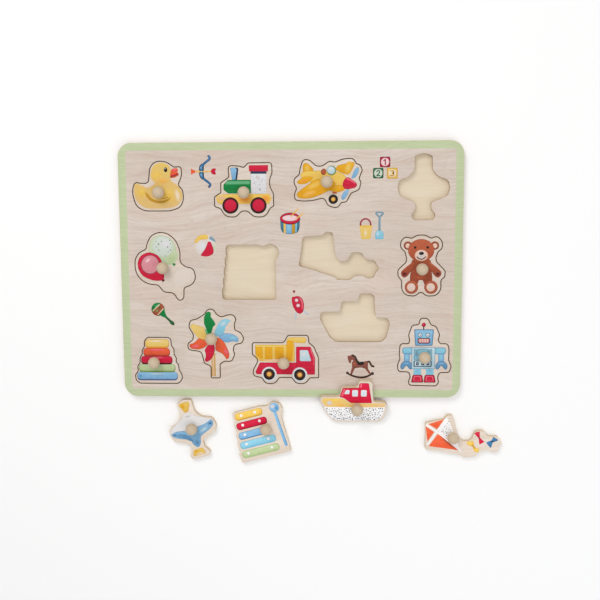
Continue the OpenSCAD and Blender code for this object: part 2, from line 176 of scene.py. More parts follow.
class Finish(Nodes):
    """A material made of patterns that read the sheet coordinates stored on each piece."""

    def __init__(self, name):
        self.material = bpy.data.materials.new(name)
        self.material.use_nodes = True
        super().__init__(self.material.node_tree)
        self.shader = self.nodes["Principled BSDF"]
        self.grain = self.attribute("grain", "Vector")

    def attribute(self, name, output):
        return self.add("ShaderNodeAttribute", attribute_name=name).outputs[output]

    def noise(self, per_metre, detail=4, roughness=0.55, distortion=0):
        """Noise with its own number of lumps a metre along the grain, across it and down."""
        place = self.add("ShaderNodeMapping", {"Vector": self.grain, "Scale": per_metre})
        inputs = {
            "Vector": place.outputs[0], "Scale": 1, "Detail": detail, "Roughness": roughness,
            "Distortion": distortion,
        }
        return self.add("ShaderNodeTexNoise", inputs).outputs[0]

    def rings(self, spacing, distortion, kind="RINGS"):
        """Growth rings round the upright axis, or layers stacked along it, with even spacing."""
        inputs = {
            "Vector": self.grain, "Scale": WAVE_PERIOD / spacing, "Distortion": distortion,
            "Detail": 2, "Detail Scale": 1.6,
        }
        settings = {"wave_type": kind, f"{kind.lower()}_direction": "Z"}
        return self.add("ShaderNodeTexWave", inputs, **settings).outputs["Fac"]

    def maths(self, operation, *values, clamp=False):
        node = self.add("ShaderNodeMath", operation=operation, use_clamp=clamp)
        for socket, value in zip(node.inputs, values):
            self.feed(socket, value)
        return node.outputs[0]

    def spread(self, value, low, high, to_low=0, to_high=1):
        """Value drawn out so that low to high becomes to_low to to_high."""
        inputs = dict(enumerate((value, low, high, to_low, to_high)))
        return self.add("ShaderNodeMapRange", inputs).outputs[0]

    def blend(self, share, first, second):
        node = self.add("ShaderNodeMix", data_type="RGBA")
        self.feed(node.inputs[0], share)
        for socket, colour in zip((node.inputs[6], node.inputs[7]), (first, second)):
            self.feed(socket, linear(colour) if isinstance(colour, str) else colour)
        return node.outputs[2]

    def over(self, colour, tone, pattern, low, high, cover):
        """The colour with a tone laid over it where the pattern rises from low to high."""
        return self.blend(self.spread(pattern, low, high, 0, cover), colour, tone)

    def mixed(self, first, share, second):
        """The first pattern for its share and the second for the rest."""
        kept = self.maths("MULTIPLY", second, 1 - share)
        return self.maths("ADD", self.maths("MULTIPLY", first, share), kept)

    def done(self, colour, fibres, smooth, rough, depth, gloss=0.3):
        """Takes the colour, and the fibres for the roughness and for a relief of the given depth."""
        look = self.shader.inputs
        self.feed(look["Base Color"], colour)
        self.feed(look["Roughness"], self.spread(fibres, 0.3, 0.7, smooth, rough))
        self.feed(look["Specular IOR Level"], gloss)
        relief = self.add("ShaderNodeBump", {"Height": fibres, "Strength": 0.6, "Distance": depth})
        self.feed(look["Normal"], relief.outputs[0])
        return self.material


def veneer(name, dark, light, tint, line, figured=1, band=False):
    """Sliced veneer: broad soft figure, thin swaying growth lines and fine fibres along the sheet."""
    f = Finish(name)
    mask = f.maths("MULTIPLY", band_mask(f), BAND_COVER) if band else None
    sway = f.spread(f.noise((6, 9, 1), detail=2), 0, 1, -0.03, 0.03)
    shift = f.add("ShaderNodeCombineXYZ", {1: sway}).outputs[0]
    f.grain = f.add("ShaderNodeVectorMath", {0: f.grain, 1: shift}).outputs[0]
    figure = f.noise((5, 60, 1), detail=3, distortion=0.8)
    lines = f.noise((16, 420, 1), detail=3, roughness=0.6, distortion=0.25)
    fibres = f.noise((45, 1500, 1500), detail=4, roughness=0.65)
    clouds = f.noise((14, 20, 1), detail=2)
    flecks = f.noise((110, 800, 1), detail=2)
    colour = f.blend(f.spread(figure, 0.34, 0.66), dark, light)
    colour = f.over(colour, tint, clouds, 0.45, 0.75, 0.45)
    colour = f.over(colour, line, lines, 0.46, 0.7, 0.42 * figured)
    colour = f.over(colour, line, flecks, 0.54, 0.7, 0.32 * figured)
    colour = f.over(colour, line, fibres, 0.5, 0.75, 0.4 * figured)
    if band:
        colour = f.blend(mask, colour, band_ink(f, fibres))
    return f.done(colour, fibres, 0.52, 0.66, 0.05 * MM)


def band_mask(f):
    """One on the band along the board's edge and zero inside it, with round inner corners."""
    straight = [high - BAND_W - BAND_CORNER_R for high in cad_board[1][:2]]
    parts = f.add("ShaderNodeSeparateXYZ", {0: f.grain}).outputs
    over = []
    for side, length in zip(parts, straight):
        past = f.maths("SUBTRACT", f.maths("ABSOLUTE", side), length)
        over.append(f.maths("MAXIMUM", past, 0))
    square = [f.maths("MULTIPLY", v, v) for v in over]
    distance = f.maths("SQRT", f.maths("ADD", *square))
    return f.spread(distance, BAND_CORNER_R - BAND_BLUR, BAND_CORNER_R + BAND_BLUR)


def band_ink(f, fibres):
    return f.blend(f.spread(fibres, 0.35, 0.7), "#C1CEA6", "#B1C091")


def sawn_edge(name, burn_and_shade, depth, dark="#B0957A", light="#DCC8AC"):
    """Cut edge of the plywood: layers of long grain and end grain, darkened down from its face by
    scorch, together with painted shade for the edges that stand in the kerfs.
    """
    f = Finish(name)
    layers = f.rings(2 * MM, 0.4, "BANDS")
    fibres = f.noise((500, 500, 2500), detail=4, roughness=0.7)
    tone = f.mixed(layers, 0.65, fibres)
    colour = f.blend(f.spread(tone, 0.2, 0.85), dark, light)
    top = cad_board[1].z
    height = f.add("ShaderNodeSeparateXYZ", {0: f.grain}).outputs[2]
    burn_and_shade_share = f.spread(height, top - depth, top - depth / 2, 0, burn_and_shade)
    # The darkening colour: scorch, and painted shade on the kerf walls and the seated toys' edges
    colour = f.blend(burn_and_shade_share, colour, "#553523")
    return f.done(colour, fibres, 0.6, 0.75, 0.08 * MM)


def turned_wood():
    """Beech turned between centres: rings on the crown, fibres and rays down the sides."""
    f = Finish("turned_wood")
    rings = f.rings(1.3 * MM, 3)
    fibres = f.noise((1500, 1500, 110), detail=4, roughness=0.65)
    rays = f.noise((2600, 2600, 500), detail=1)
    tone = f.mixed(rings, 0.22, fibres)
    colour = f.blend(f.spread(tone, 0.3, 0.75), "#D3C2A9", "#BDA689")
    colour = f.over(colour, "#A98C6C", rays, 0.66, 0.74, 0.4)
    return f.done(colour, fibres, 0.4, 0.55, 0.05 * MM, gloss=0.4)


# Inks: the colour at the foot of a shape, at its head and along its rim
TONES = {
    "black": ("#16130F", "#262320", "#0E0C0A"),
    "blue": ("#6F9FC6", "#8EBAD8", "#4C7596"),
    "blush": ("#DDB7A2", "#E6C6B4", "#B98A76"),
    "brown": ("#A44C30", "#BC6040", "#74321F"),
    "chestnut": ("#7A4234", "#935546", "#482318"),
    "claret": ("#A01538", "#B42347", "#6A0C24"),
    "cream": ("#DECAA8", "#EADBC0", "#C7A67C"),
    "crimson": ("#BE1232", "#D21E44", "#780A1D"),
    "dark_brown": ("#54281C", "#6F3A2B", "#38180F"),
    "deep_blue": ("#2E608C", "#4480AE", "#1E3F60"),
    "faded": ("#D5C8BD", "#DACDC3", "#D0C1B5"),
    "fir": ("#2A6142", "#3A7853", "#1B442E"),
    "forest": ("#24502E", "#35683C", "#16361F"),
    "gold": ("#D3940F", "#E8AC20", "#A5740F"),
    "green": ("#017034", "#0B8841", "#03502A"),
    "grey": ("#7E868A", "#9FA7AA", "#646A6D"),
    "hub": ("#D99A3C", "#EFC065", "#B57420"),
    "leaf": ("#A5B682", "#BFCDA3", "#7D9457"),
    "lemon": ("#DCB95C", "#E5C67A", "#C69C48"),
    "light_blue": ("#77B6CE", "#96CCDC", "#568BA4"),
    "maroon": ("#3C0812", "#5C1220", "#22050B"),
    "mint": ("#58A573", "#6FB689", "#2F7A4C"),
    "mist": ("#AEB7C2", "#BEC6CF", "#98A3B0"),
    "navy": ("#1C2B44", "#2A4060", "#141E30"),
    "ochre": ("#B3821D", "#C8992E", "#C8992E"),
    "olive": ("#6E8949", "#83995C", "#596F39"),
    "orange": ("#DB8A2C", "#EBA043", "#B66C1C"),
    "orange_red": ("#D34E2B", "#E9673F", "#A23821"),
    "pale_blue": ("#AEC7D2", "#C9DADF", "#86A5B3"),
    "pale_green": ("#B5C49C", "#CBD5BB", "#98AA7A"),
    "pale_mint": ("#C3CDC0", "#D2D7CD", "#AEBBA4"),
    "petal": ("#E6BEC2", "#EFD0D1", "#CC8E96"),
    "pink": ("#C97F88", "#DA979E", "#A85C68"),
    "red_brown": ("#A6362A", "#BC5238", "#7E241C"),
    "rose": ("#DC4C62", "#EE7686", "#B82A44"),
    "russet": ("#8E3E27", "#A85536", "#672A1A"),
    "silver": ("#C4BCBA", "#D6CCC8", "#B08878"),
    "slate": ("#6E909F", "#839DAE", "#587683"),
    "snow": ("#DCDADB", "#E9E7E6", "#C3BEBE"),
    "soot": ("#343A44", "#4A525B", "#2C323A"),
    "steel": ("#4C7EA4", "#6C9BBE", "#315573"),
    "straw": ("#D6B174", "#DFBE64", "#D9BB90"),
    "tan": ("#CEA67E", "#DFBC98", "#A97F58"),
    "teal": ("#2F6078", "#457F97", "#1F4456"),
    "umber": ("#3A261C", "#52392C", "#271911"),
    "violet": ("#555B83", "#6A7098", "#454A70"),
    "white": ("#D0CDCE", "#DFDEE0", "#B6B2B4"),
    "wine": ("#8A2F3D", "#A2434F", "#6B2230"),
    "yellow": ("#DCAF4C", "#E9C763", "#B98A2A"),
}


def brighter(colour, gain):
    parts = (int(colour[i:i + 2], 16) for i in (1, 3, 5))
    return "#" + "".join(f"{min(255, round(part * gain)):02X}" for part in parts)


def ink(name, gain=1):
    """
    Ink that is darker along its rim and lighter towards the head of each shape. One named like
    gold>yellow is gold in the middle and fades into the yellow that it lies on.
    """
    label = "ink_" + name.replace(">", "_to_") + ("_painted_light" if gain > 1 else "")
    if label in bpy.data.materials:
        return bpy.data.materials[label]
    middle, _, around = name.partition(">")
    # A gain above one is painted light: the ink is made brighter for a toy that lies in the open light
    foot, head, rim = (brighter(tone, gain) for tone in TONES[middle])
    f = Finish(label)
    fibres = f.noise((25, 900, 900), detail=4, roughness=0.65)
    mottle = f.spread(f.noise((260, 260, 260), detail=2), 0.35, 0.65, -0.04, 0.28)

    def rising(shade, foot, head):
        rise = f.maths("MULTIPLY", f.attribute(shade, "Fac"), 0.7)
        return f.blend(f.maths("ADD", mottle, rise, clamp=True), foot, head)

    colour = rising("shade", foot, head)
    inward = f.attribute("rim", "Fac")
    if around:
        ground = [brighter(tone, gain) for tone in TONES[around][:2]]
        colour = f.blend(inward, colour, rising("under", *ground))
    else:
        colour = f.over(colour, rim, inward, 0.1, 1, 0.85)
    colour = f.over(colour, "#D9CCBE", fibres, 0.56, 0.75, 0.1)
    return f.done(colour, fibres, 0.45, 0.6, 0.04 * MM, gloss=0.16)


# Wooden pieces

def placed(name, data):
    """A new object of the scene for a mesh, a lamp or a camera."""
    made = bpy.data.objects.new(name, data)
    bpy.context.scene.collection.objects.link(made)
    return made


def mesh_of(name, shape):
    """The mesh of a shape that is done with."""
    mesh = bpy.data.meshes.new(name)
    shape.to_mesh(mesh)
    shape.free()
    return mesh


def corners(node):
    return [v.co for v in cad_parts[node].data.vertices]


def store(mesh, to_sheet):
    """Writes where each corner of the mesh lay in the uncut sheet, which the patterns read."""
    places = mesh.attributes.new("grain", "FLOAT_VECTOR", "POINT")
    for vertex, place in zip(mesh.vertices, places.data):
        place.vector = to_sheet @ vertex.co


def joined(node):
    """The node's triangles with their corners joined."""
    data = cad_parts[node].data
    shape = bmesh.new()
    for vertex in data.vertices:
        shape.verts.new(vertex.co)
    shape.verts.ensure_lookup_table()
    for face in data.polygons:
        shape.faces.new([shape.verts[i] for i in face.vertices])
    bmesh.ops.remove_doubles(shape, verts=shape.verts, dist=JOIN_WITHIN)
    return shape


def ease_rims(shape, sides):
    """Rounds the rims of the flat faces that look towards one of the given sides."""
    bmesh.ops.dissolve_limit(shape, angle_limit=FLAT_WITHIN, verts=shape.verts, edges=shape.edges)
    shape.normal_update()

    def is_rim(edge):
        if len(edge.link_faces) != 2:
            return False
        facing = [max(f.normal.dot(side) for side in sides) for f in edge.link_faces]
        return max(facing) > RIM_FACE and min(facing) < TURNED_AWAY

    rims = [e for e in shape.edges if is_rim(e)]
    bmesh.ops.bevel(
        shape, geom=rims, offset=RIM_R, offset_type="OFFSET", segments=RIM_STEPS, profile=0.5,
        affect="EDGES", clamp_overlap=False,
    )


def piece(name, shape, materials, to_sheet, body, node=None):
    """Turns a shape into a finished piece that rides on its body."""
    mesh = mesh_of(name, shape)
    for material in materials:
        mesh.materials.append(material)
    mesh.polygons.foreach_set("use_smooth", [True] * len(mesh.polygons))
    mesh.set_sharp_from_angle(angle=SHARP_FROM)
    store(mesh, to_sheet)
    made = placed(name, mesh)
    if node:
        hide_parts(node)
    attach(made, body)


def within(place, boxes, margin):
    """Whether a place lies in one of the boxes or no farther from it than the margin."""
    def near(low, high):
        return all(a - margin < p < b + margin for a, p, b in zip(low, place, high))

    return any(near(low, high) for low, high in boxes)


def sheet_piece(name, node, skins, body, out=UP, sides=(UP,), to_sheet=Matrix()):
    """
    A piece cut from a sheet, with one skin on its flat faces, one on the edges of its cuts and, on a
    sheet of the board, one on its outside edge and one darkened with painted shade in the kerfs round
    the toys in it.
    """
    shape = joined(node)
    ease_rims(shape, sides)
    shape.normal_update()
    reach = [high - BAND_W for high in cad_board[1][:2]]
    seated = [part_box(f"{toy}_plate") for toy in TOYS if toy not in TURN]
    for face in shape.faces:
        place = face.calc_center_median()
        outside = node in BOARD_SHEETS and any(abs(p) > r for p, r in zip(place, reach))
        if abs(face.normal.dot(out)) <= SKIN_FACE:
            # Walls in a kerf take the skin darkened with painted shade
            kerf = node in BOARD_SHEETS and within(place, seated, KERF_REACH)
            face.material_index = OUTER_SKIN if outside else KERF_SKIN if kerf else CUT_SKIN
    piece(name, shape, skins, to_sheet, body, node)


class Face:
    """A flat wooden face to print on, with its middle, its directions and its unit steps."""

    def __init__(self, middle, across, up, steps, to_sheet):
        self.out = across.cross(up)
        self.matrix = Matrix((across, up, self.out)).transposed().to_4x4()
        self.matrix.translation = middle
        self.steps = steps
        self.to_sheet = to_sheet

    def fit(self, size, across, up):
        """Moves the middle by some steps across and up, and makes the steps larger."""
        shift = (across * self.steps[0], up * self.steps[1], 0)
        self.matrix = self.matrix @ Matrix.Translation(shift)
        self.steps = tuple(step * size for step in self.steps)


def toy_face(toy):
    """The printed face of a toy, measured on its plate, with steps across and up."""
    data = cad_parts[f"{toy}_plate"].data
    out = Vector()
    for face in data.polygons:
        if face.normal.z > LOOKS_UP:
            out += face.normal * face.area
    out.normalize()
    turn = TURN.get(toy, 0)
    across = Vector((math.cos(turn), math.sin(turn), 0))
    up = out.cross(across)
    spans = [[p.dot(d) for p in corners(f"{toy}_plate")] for d in (across, up, out)]
    low, high = [min(s) for s in spans], [max(s) for s in spans]
    middle = across * (low[0] + high[0]) / 2 + up * (low[1] + high[1]) / 2 + out * high[2]
    steps = [(b - a) / PLATE_STEPS for a, b in zip(low[:2], high[:2])]
    face = Face(middle, across, up, steps, Matrix())
    if toy in TURN:
        patch = Vector((TOYS.index(toy) * PATCH_STEP, PATCH_Y, cad_board[1].z))
        face.to_sheet = Matrix.Translation(patch) @ face.matrix.inverted()
    return face


def place_in_log(number):
    """Where a knob's middle lay in the log, off its heart by a few millimetres, each another way."""
    turn = number * LOG_TURN
    return Vector((4 + 3 * math.cos(turn), 5 * math.sin(turn), number * 9)) * MM


def dress_toy(toy):
    """The toy's plate and its knob. Returns the face that its picture goes on."""
    face = toy_face(toy)
    plate, knob = f"{toy}_plate", f"{toy}_knob"
    # Loose toys take the lighter veneer and edge as painted light, and seated toys take the edge
    # darkened with painted shade
    skins = [lit_loose_wood, lit_loose_edge] if toy in TURN else [toy_wood, shaded_toy_edge]
    sides = (face.out, -face.out)
    sheet_piece(f"{toy}_wood", plate, skins, toy, face.out, sides, face.to_sheet)
    axis = face.matrix.inverted()
    local = [axis @ p for p in corners(knob)]
    middle = Vector([(min(c) + max(c)) / 2 for c in zip(*local)])
    from_log = Matrix.Translation(place_in_log(TOYS.index(toy)) - middle) @ axis
    piece(f"{toy}_turned", joined(knob), [knob_wood], from_log, toy, knob)
    return face


# Pictures

def smooth_through(points, closed=True, steps=6):
    """A curve that passes smoothly through the points."""
    n = len(points)

    def at(i):
        return Vector(points[i % n if closed else min(max(i, 0), n - 1)])

    curve = []
    for i in range(n if closed else n - 1):
        a, b, c, d = (at(i + k) for k in (-1, 0, 1, 2))
        for k in range(steps):
            t = k / steps
            curve.append((
                2 * b + (c - a) * t + (2 * a - 5 * b + 4 * c - d) * t ** 2
                + (3 * b - a - 3 * c + d) * t ** 3
            ) / 2)
    return curve if closed else curve + [at(n - 1)]


def round_corners(points, r, steps=4):
    """The outline with each corner drawn in by up to r along its two sides."""
    n = len(points)
    curve = []
    for i in range(n):
        before, here, after = (Vector(points[k % n]) for k in (i - 1, i, i + 1))
        room = min((before - here).length, (after - here).length)
        cut = min(r, SIDE_SHARE * room)
        start = here + (before - here).normalized() * cut
        end = here + (after - here).normalized() * cut
        for k in range(steps + 1):
            t = k / steps
            curve.append(start * (1 - t) ** 2 + here * 2 * t * (1 - t) + end * t ** 2)
    return curve


def drawn_in(outline, depth):
    """The outline moved inwards by the depth, by less where it is narrow, or None if none fits."""
    here = numpy.array([(p.x, p.y) for p in outline])
    step = numpy.roll(here, -1, 0) - here
    length = numpy.linalg.norm(step, axis=1)
    along = step / length[:, None]
    before = numpy.roll(along, 1, 0)
    inward = numpy.stack((-along[:, 1] - before[:, 1], along[:, 0] + before[:, 0]), 1)
    stretch = numpy.maximum(1 + (along * before).sum(1), SHARP_LIMIT)
    for share in DEPTH_TRIES:
        ring = here + inward / stretch[:, None] * depth * share
        gap = ring[:, None] - here[None]
        run = numpy.clip((gap * step[None]).sum(2) / length[None] ** 2, 0, 1)
        miss = numpy.linalg.norm(gap - run[..., None] * step[None], axis=2)
        ahead = ((numpy.roll(ring, -1, 0) - ring) * step).sum(1)
        if miss.min() > CLEAR_SHARE * depth * share and ahead.min() > 0:
            return [Vector(p) for p in ring]
    return None


def middle_of(points):
    return sum((Vector(p) for p in points), Vector((0, 0))) / len(points)


def sized(points, share):
    """The points moved towards their middle, to a share of their distance from it."""
    middle = middle_of(points)
    return [middle + (Vector(p) - middle) * share for p in points]


def pairs(points):
    """Each point with the next one round the outline."""
    return zip(points, points[1:] + points[:1])


def extents(points):
    """Least and greatest x, then least and greatest y."""
    xs, ys = [p.x for p in points], [p.y for p in points]
    return min(xs), max(xs), min(ys), max(ys)


def crossing(box, other):
    """Whether two boxes given by their extents cross."""
    across = other[0] < box[1] and box[0] < other[1]
    return across and other[2] < box[3] and box[2] < other[3]


def shrunk(outline):
    """The outline shrunk towards its middle, for a tint that fades out to its rim."""
    middle = middle_of(outline)
    if all((a - middle).cross(b - middle) > 0 for a, b in pairs(outline)):
        return sized(outline, FADE_SHARE)
    left, right, bottom, top = extents(outline)
    return drawn_in(outline, FADE_SHARE * min(right - left, top - bottom))


class Picture:
    """Inks on one face. Every shape is a thin slab, and one that crosses another lies above it."""

    def __init__(self, name, face, body):
        self.name, self.face, self.body = name, face, body
        self.shape = bmesh.new()
        self.shade = self.shape.verts.layers.float.new("shade")
        self.rim = self.shape.verts.layers.float.new("rim")
        self.under = self.shape.verts.layers.float.new("under")
        self.inks, self.laid = [], []

    def metres(self, points):
        """Points in steps of the face as places on it."""
        return [Vector((x * self.face.steps[0], y * self.face.steps[1])) for x, y in points]

    def level_over(self, box):
        """The first level that is free above the box of every shape that it crosses."""
        under = [level for _, other, level in self.laid if crossing(box, other)]
        return max(under, default=-1) + 1

    def slab(self, name, outline, rimmed=True):
        """A closed outline as a thin slab of ink, with a ring inside it where its rim ends."""
        outline = [p for p, q in pairs(outline) if (p - q).length > JOIN_WITHIN]
        if sum(a.cross(b) for a, b in pairs(outline)) < 0:
            outline = outline[::-1]
        box = extents(outline)
        level = self.level_over(box)
        self.laid.append((name, box, level))
        if name not in self.inks:
            self.inks.append(name)
        left, right, bottom, top = box
        around = name.partition(">")[2]
        lying_on = [other for ink_name, other, _ in self.laid if ink_name == around]
        ground_bottom, ground_top = lying_on[-1][2:] if lying_on else box[2:]
        if around:
            inner = shrunk(outline)
        else:
            depth = min(INK_RIM, INK_RIM_SHARE * min(right - left, top - bottom))
            inner = drawn_in(outline, depth) if rimmed and depth > LEAST_RIM else None

        def ring(points, z, rim):
            made = [self.shape.verts.new((p.x, p.y, z)) for p in points]
            for vertex in made:
                y = vertex.co.y
                vertex[self.shade] = (y - bottom) / (top - bottom)
                vertex[self.rim] = rim
                vertex[self.under] = (y - ground_bottom) / (ground_top - ground_bottom)
            return made

        high = INK_T + level * INK_STEP
        rings = [ring(outline, -INK_SUNK, 0), ring(outline, high, 1 if inner else 0)]
        if inner:
            rings.append(ring(inner, high, 0))
        made = [self.shape.faces.new(rings[-1]), self.shape.faces.new(rings[0][::-1])]
        for lower, upper in zip(rings, rings[1:]):
            for (a, b), (d, c) in zip(pairs(lower), pairs(upper)):
                made.append(self.shape.faces.new((a, b, c, d)))
        for face in made:
            face.material_index = self.inks.index(name)

    def poly(self, name, points, r=0):
        """A shape with straight sides, its corners rounded by up to r."""
        outline = self.metres(points)
        self.slab(name, round_corners(outline, r * self.face.steps[0]) if r else outline)

    def block(self, name, left, right, top, bottom, r=0):
        self.poly(name, box_points(left, right, top, bottom), r)

    def blob(self, name, points):
        """A smooth shape through the points."""
        self.slab(name, smooth_through(self.metres(points)))

    def oval(self, name, x, y, rx, ry, turn=0):
        """An oval with both radii in steps across the face, turned by some degrees."""
        middle, step = self.metres([(x, y)])[0], self.face.steps[0]
        sides = FEW_SIDES if max(rx, ry) * step < LARGE_OVAL_R else MANY_SIDES
        spin = Matrix.Rotation(math.radians(turn), 2)
        angles = [2 * math.pi * k / sides for k in range(sides)]
        reach = [Vector((rx * math.cos(a), ry * math.sin(a))) * step for a in angles]
        self.slab(name, [middle + spin @ v for v in reach])

    def tints(self, ground, *ovals):
        """Ovals that fade into the ink they lie on."""
        for name, *oval in ovals:
            self.oval(f"{name}>{ground}", *oval)

    def dot(self, name, x, y, r):
        self.oval(name, x, y, r, r)

    def discs(self, x, y, **radii):
        """Dots on one middle, the widest first."""
        for name, r in radii.items():
            self.dot(name, x, y, r)

    def line(self, name, points, width):
        self.stroke(name, self.metres(points), width)

    def curve(self, name, points, width):
        self.stroke(name, smooth_through(self.metres(points), closed=False), width)

    def stroke(self, name, path, width):
        """A stroke of even width with round ends. The width is in steps across the face."""
        half = width * self.face.steps[0] / 2
        left, right = [], []
        for i, here in enumerate(path):
            along = (path[min(i + 1, len(path) - 1)] - path[max(i - 1, 0)]).normalized()
            side = Vector((-along.y, along.x)) * half
            left.append(here + side)
            right.append(here - side)
        ends = []
        for here, toward in ((path[-1], path[-1] - path[-2]), (path[0], path[0] - path[1])):
            start = math.atan2(toward.y, toward.x)
            angles = [start + math.pi * (0.5 - k / END_STEPS) for k in range(1, END_STEPS)]
            ends.append([here + Vector((math.cos(a), math.sin(a))) * half for a in angles])
        self.slab(name, left + ends[0] + right[::-1] + ends[1], rimmed=False)

    def done(self):
        """Puts all the shapes on the face as one piece."""
        self.shape.normal_update()
        caps = [f for f in self.shape.faces if len(f.verts) > 4]
        bmesh.ops.triangulate(self.shape, faces=caps, ngon_method="EAR_CLIP")
        self.shape.transform(self.face.matrix)
        # Painted light: brighter inks on the toys that lie in the open light
        gain = PAINTED_LIGHT_GAIN if self.body in PAINTED_LIGHT_TOYS else 1
        inks = [ink(name, gain) for name in self.inks]
        piece(self.name, self.shape, inks, self.face.to_sheet, self.body)


def box_points(left, right, top, bottom):
    return [(left, bottom), (right, bottom), (right, top), (left, top)]


def mirrored(points, middle):
    return [(2 * middle - x, y) for x, y in points]


def arc_points(x, y, r, start, end):
    angles = [math.radians(start + (end - start) * k / ARC_STEPS) for k in range(ARC_STEPS + 1)]
    return [(x + r * math.cos(a), y + r * math.sin(a)) for a in angles]


# Pictures on the toys, in thousandths of the plate's width and height from its middle

def draw_duck(p):
    p.blob("straw", [
        (-455, 35), (-480, -90), (-455, -250), (-360, -385), (-200, -455), (150, -455), (340, -410),
        (455, -280), (455, -130), (380, 0), (265, 80), (250, 150), (262, 270), (210, 400), (65, 455),
        (-80, 400), (-135, 270), (-100, 150), (-60, 70), (-120, 0), (-240, -45), (-320, -15),
        (-380, 35),
    ])
    p.tints(
        "straw", ("yellow", -20, 200, 130, 140), ("hub", 90, 100, 150, 70),
        ("yellow", 160, -200, 260, 180), ("yellow", -330, -140, 120, 140),
        ("cream", 370, -200, 60, 150, 12),
    )
    p.blob("ochre", [
        (-260, -130), (-235, -220), (-160, -300), (-40, -345), (90, -345), (190, -300), (250, -220),
        (180, -265), (80, -300), (-40, -295), (-140, -245), (-200, -170),
    ])
    p.curve("ochre", [(20, -250), (110, -255), (180, -230)], 14)
    p.blob("orange_red", [
        (235, 170), (250, 290), (297, 337), (370, 340), (388, 300), (375, 265), (405, 215), (340, 165),
        (270, 150),
    ])
    p.oval("rose>orange_red", 325, 310, 45, 30, 15)
    p.curve("crimson", [(260, 205), (310, 205), (380, 235)], 20)
    p.curve("dark_brown", [(240, 175), (300, 185), (385, 225)], 16)
    p.oval("black", 148, 312, 34, 46, 10)
    p.dot("white", 138, 336, 11)


def draw_train(p):
    p.poly("yellow", [
        (-475, -200), (-430, -260), (440, -260), (445, -75), (-360, -75), (-450, -110),
    ], r=30)
    p.tints(
        "yellow", ("orange", 20, -170, 170, 85), ("orange", 370, -160, 100, 80),
        ("tan", -380, -150, 100, 60),
    )
    p.poly("green", [(-350, 100), (-275, 190), (118, 190), (118, -65), (-270, -65), (-350, 5)], r=12)
    p.poly("mint", [(-290, 165), (100, 165), (100, 105), (-325, 105)], r=10)
    p.poly("blue", [(-200, 190), (-120, 190), (-100, 405), (-115, 420), (-215, 420), (-230, 405)])
    p.poly("navy", [(-143, 190), (-115, 190), (-90, 385), (-105, 420), (-140, 420), (-120, 380)])
    p.block("white", 122, 385, 310, -72, r=15)
    p.oval("silver>white", 240, 230, 50, 40)
    p.dot("grey", 272, 15, 14)
    p.block("navy", 115, 388, 345, 302, r=6)
    p.poly("crimson", [(92, 345), (412, 345), (418, 462), (85, 462)], r=12)
    for x in (-235, 245):
        p.discs(x, -290, black=140, maroon=124, crimson=104)


def draw_plane(p):
    p.poly("gold", [
        (110, 300), (150, 370), (260, 405), (370, 435), (400, 415), (370, 310), (330, 200), (285, 170),
        (200, 215), (120, 260),
    ], r=20)
    p.oval("yellow>gold", 300, 310, 60, 100, -20)
    p.curve("cream", [(120, 255), (200, 200), (280, 155)], 14)
    p.poly("gold", [(-375, 200), (-375, 390), (-340, 425), (-290, 400), (-210, 290), (-240, 220)], r=30)
    p.oval("yellow>gold", -310, 300, 45, 60)
    p.blob("yellow", [
        (-370, 240), (-400, 130), (-250, 20), (-100, -80), (50, -170), (200, -160), (260, -90),
        (280, 70), (210, 200), (50, 250), (-150, 260),
    ])
    p.blob("gold", [(20, -90), (60, -170), (160, -190), (250, -130), (230, -60), (120, -50)])
    p.line("brown", [(75, -200), (120, -205)], 25)
    p.blob("gold", [
        (-460, 30), (-430, -15), (-330, -10), (-250, 60), (-220, 115), (-280, 140), (-370, 130),
    ])
    p.oval("orange>gold", -360, 55, 70, 30, 25)
    p.blob("gold", [
        (-465, -220), (-440, -295), (-350, -320), (-220, -295), (-80, -220), (50, -120), (115, -20),
        (50, 50), (-100, 80), (-200, 70), (-300, -30), (-400, -130),
    ])
    p.tints("gold", ("hub", -280, -220, 130, 50, 20), ("yellow", -200, -40, 160, 50, 28))
    p.oval("brown", -65, 235, 48, 40, 80)
    p.oval("olive", 52, 262, 72, 72, 70)
    p.oval("pale_blue", 45, 268, 58, 62, 70)
    p.oval("white>pale_blue", 35, 290, 30, 30)
    p.blob("blue", [(350, 100), (405, 115), (445, 200), (460, 290), (440, 330), (400, 280), (370, 190)])
    p.blob("blue", [
        (315, -140), (280, -140), (230, -200), (200, -300), (220, -350), (265, -300), (300, -210),
    ])
    p.poly("crimson", [
        (215, -60), (225, 40), (270, 115), (310, 120), (420, 10), (435, -60), (400, -100), (320, -125),
        (250, -130),
    ], r=30)
    p.curve("rose", [(290, 90), (350, 50), (400, 0)], 24)
    p.discs(78, -335, black=71, hub=32)


def draw_spinning_top(p):
    p.poly("yellow", [(-60, 290), (20, 290), (100, 420), (80, 460), (-110, 460), (-140, 430)], r=30)
    p.oval("gold>yellow", -60, 400, 50, 80)
    p.blob("snow", [
        (-460, 50), (-340, 130), (-170, 200), (-100, 260), (-30, 275), (50, 260), (140, 200),
        (320, 130), (450, 70), (420, -20), (0, 30), (-420, -20),
    ])
    p.oval("silver>snow", -20, 220, 100, 35)
    p.blob("blue", [
        (-465, -10), (-380, 20), (-220, 10), (-80, -30), (100, 10), (280, 30), (430, 70), (455, 20),
        (420, -40), (280, -100), (120, -160), (80, -260), (0, -320), (-80, -260), (-120, -170),
        (-280, -120), (-420, -65),
    ])
    p.blob("steel>blue", [
        (-440, -30), (-300, -30), (-120, -100), (-50, -240), (-100, -200), (-280, -100),
    ])
    p.tints(
        "blue", ("deep_blue", -400, -28, 70, 30, -10), ("deep_blue", 390, 15, 60, 45),
        ("pale_blue", 220, -60, 130, 35, 24), ("steel", 0, -240, 70, 90),
    )
    p.poly("yellow", [
        (-150, -450), (120, -450), (110, -380), (70, -345), (-90, -345), (-140, -390),
    ], r=20)
    p.tints("yellow", ("gold", -70, -375, 60, 30), ("cream", 0, -430, 110, 30))


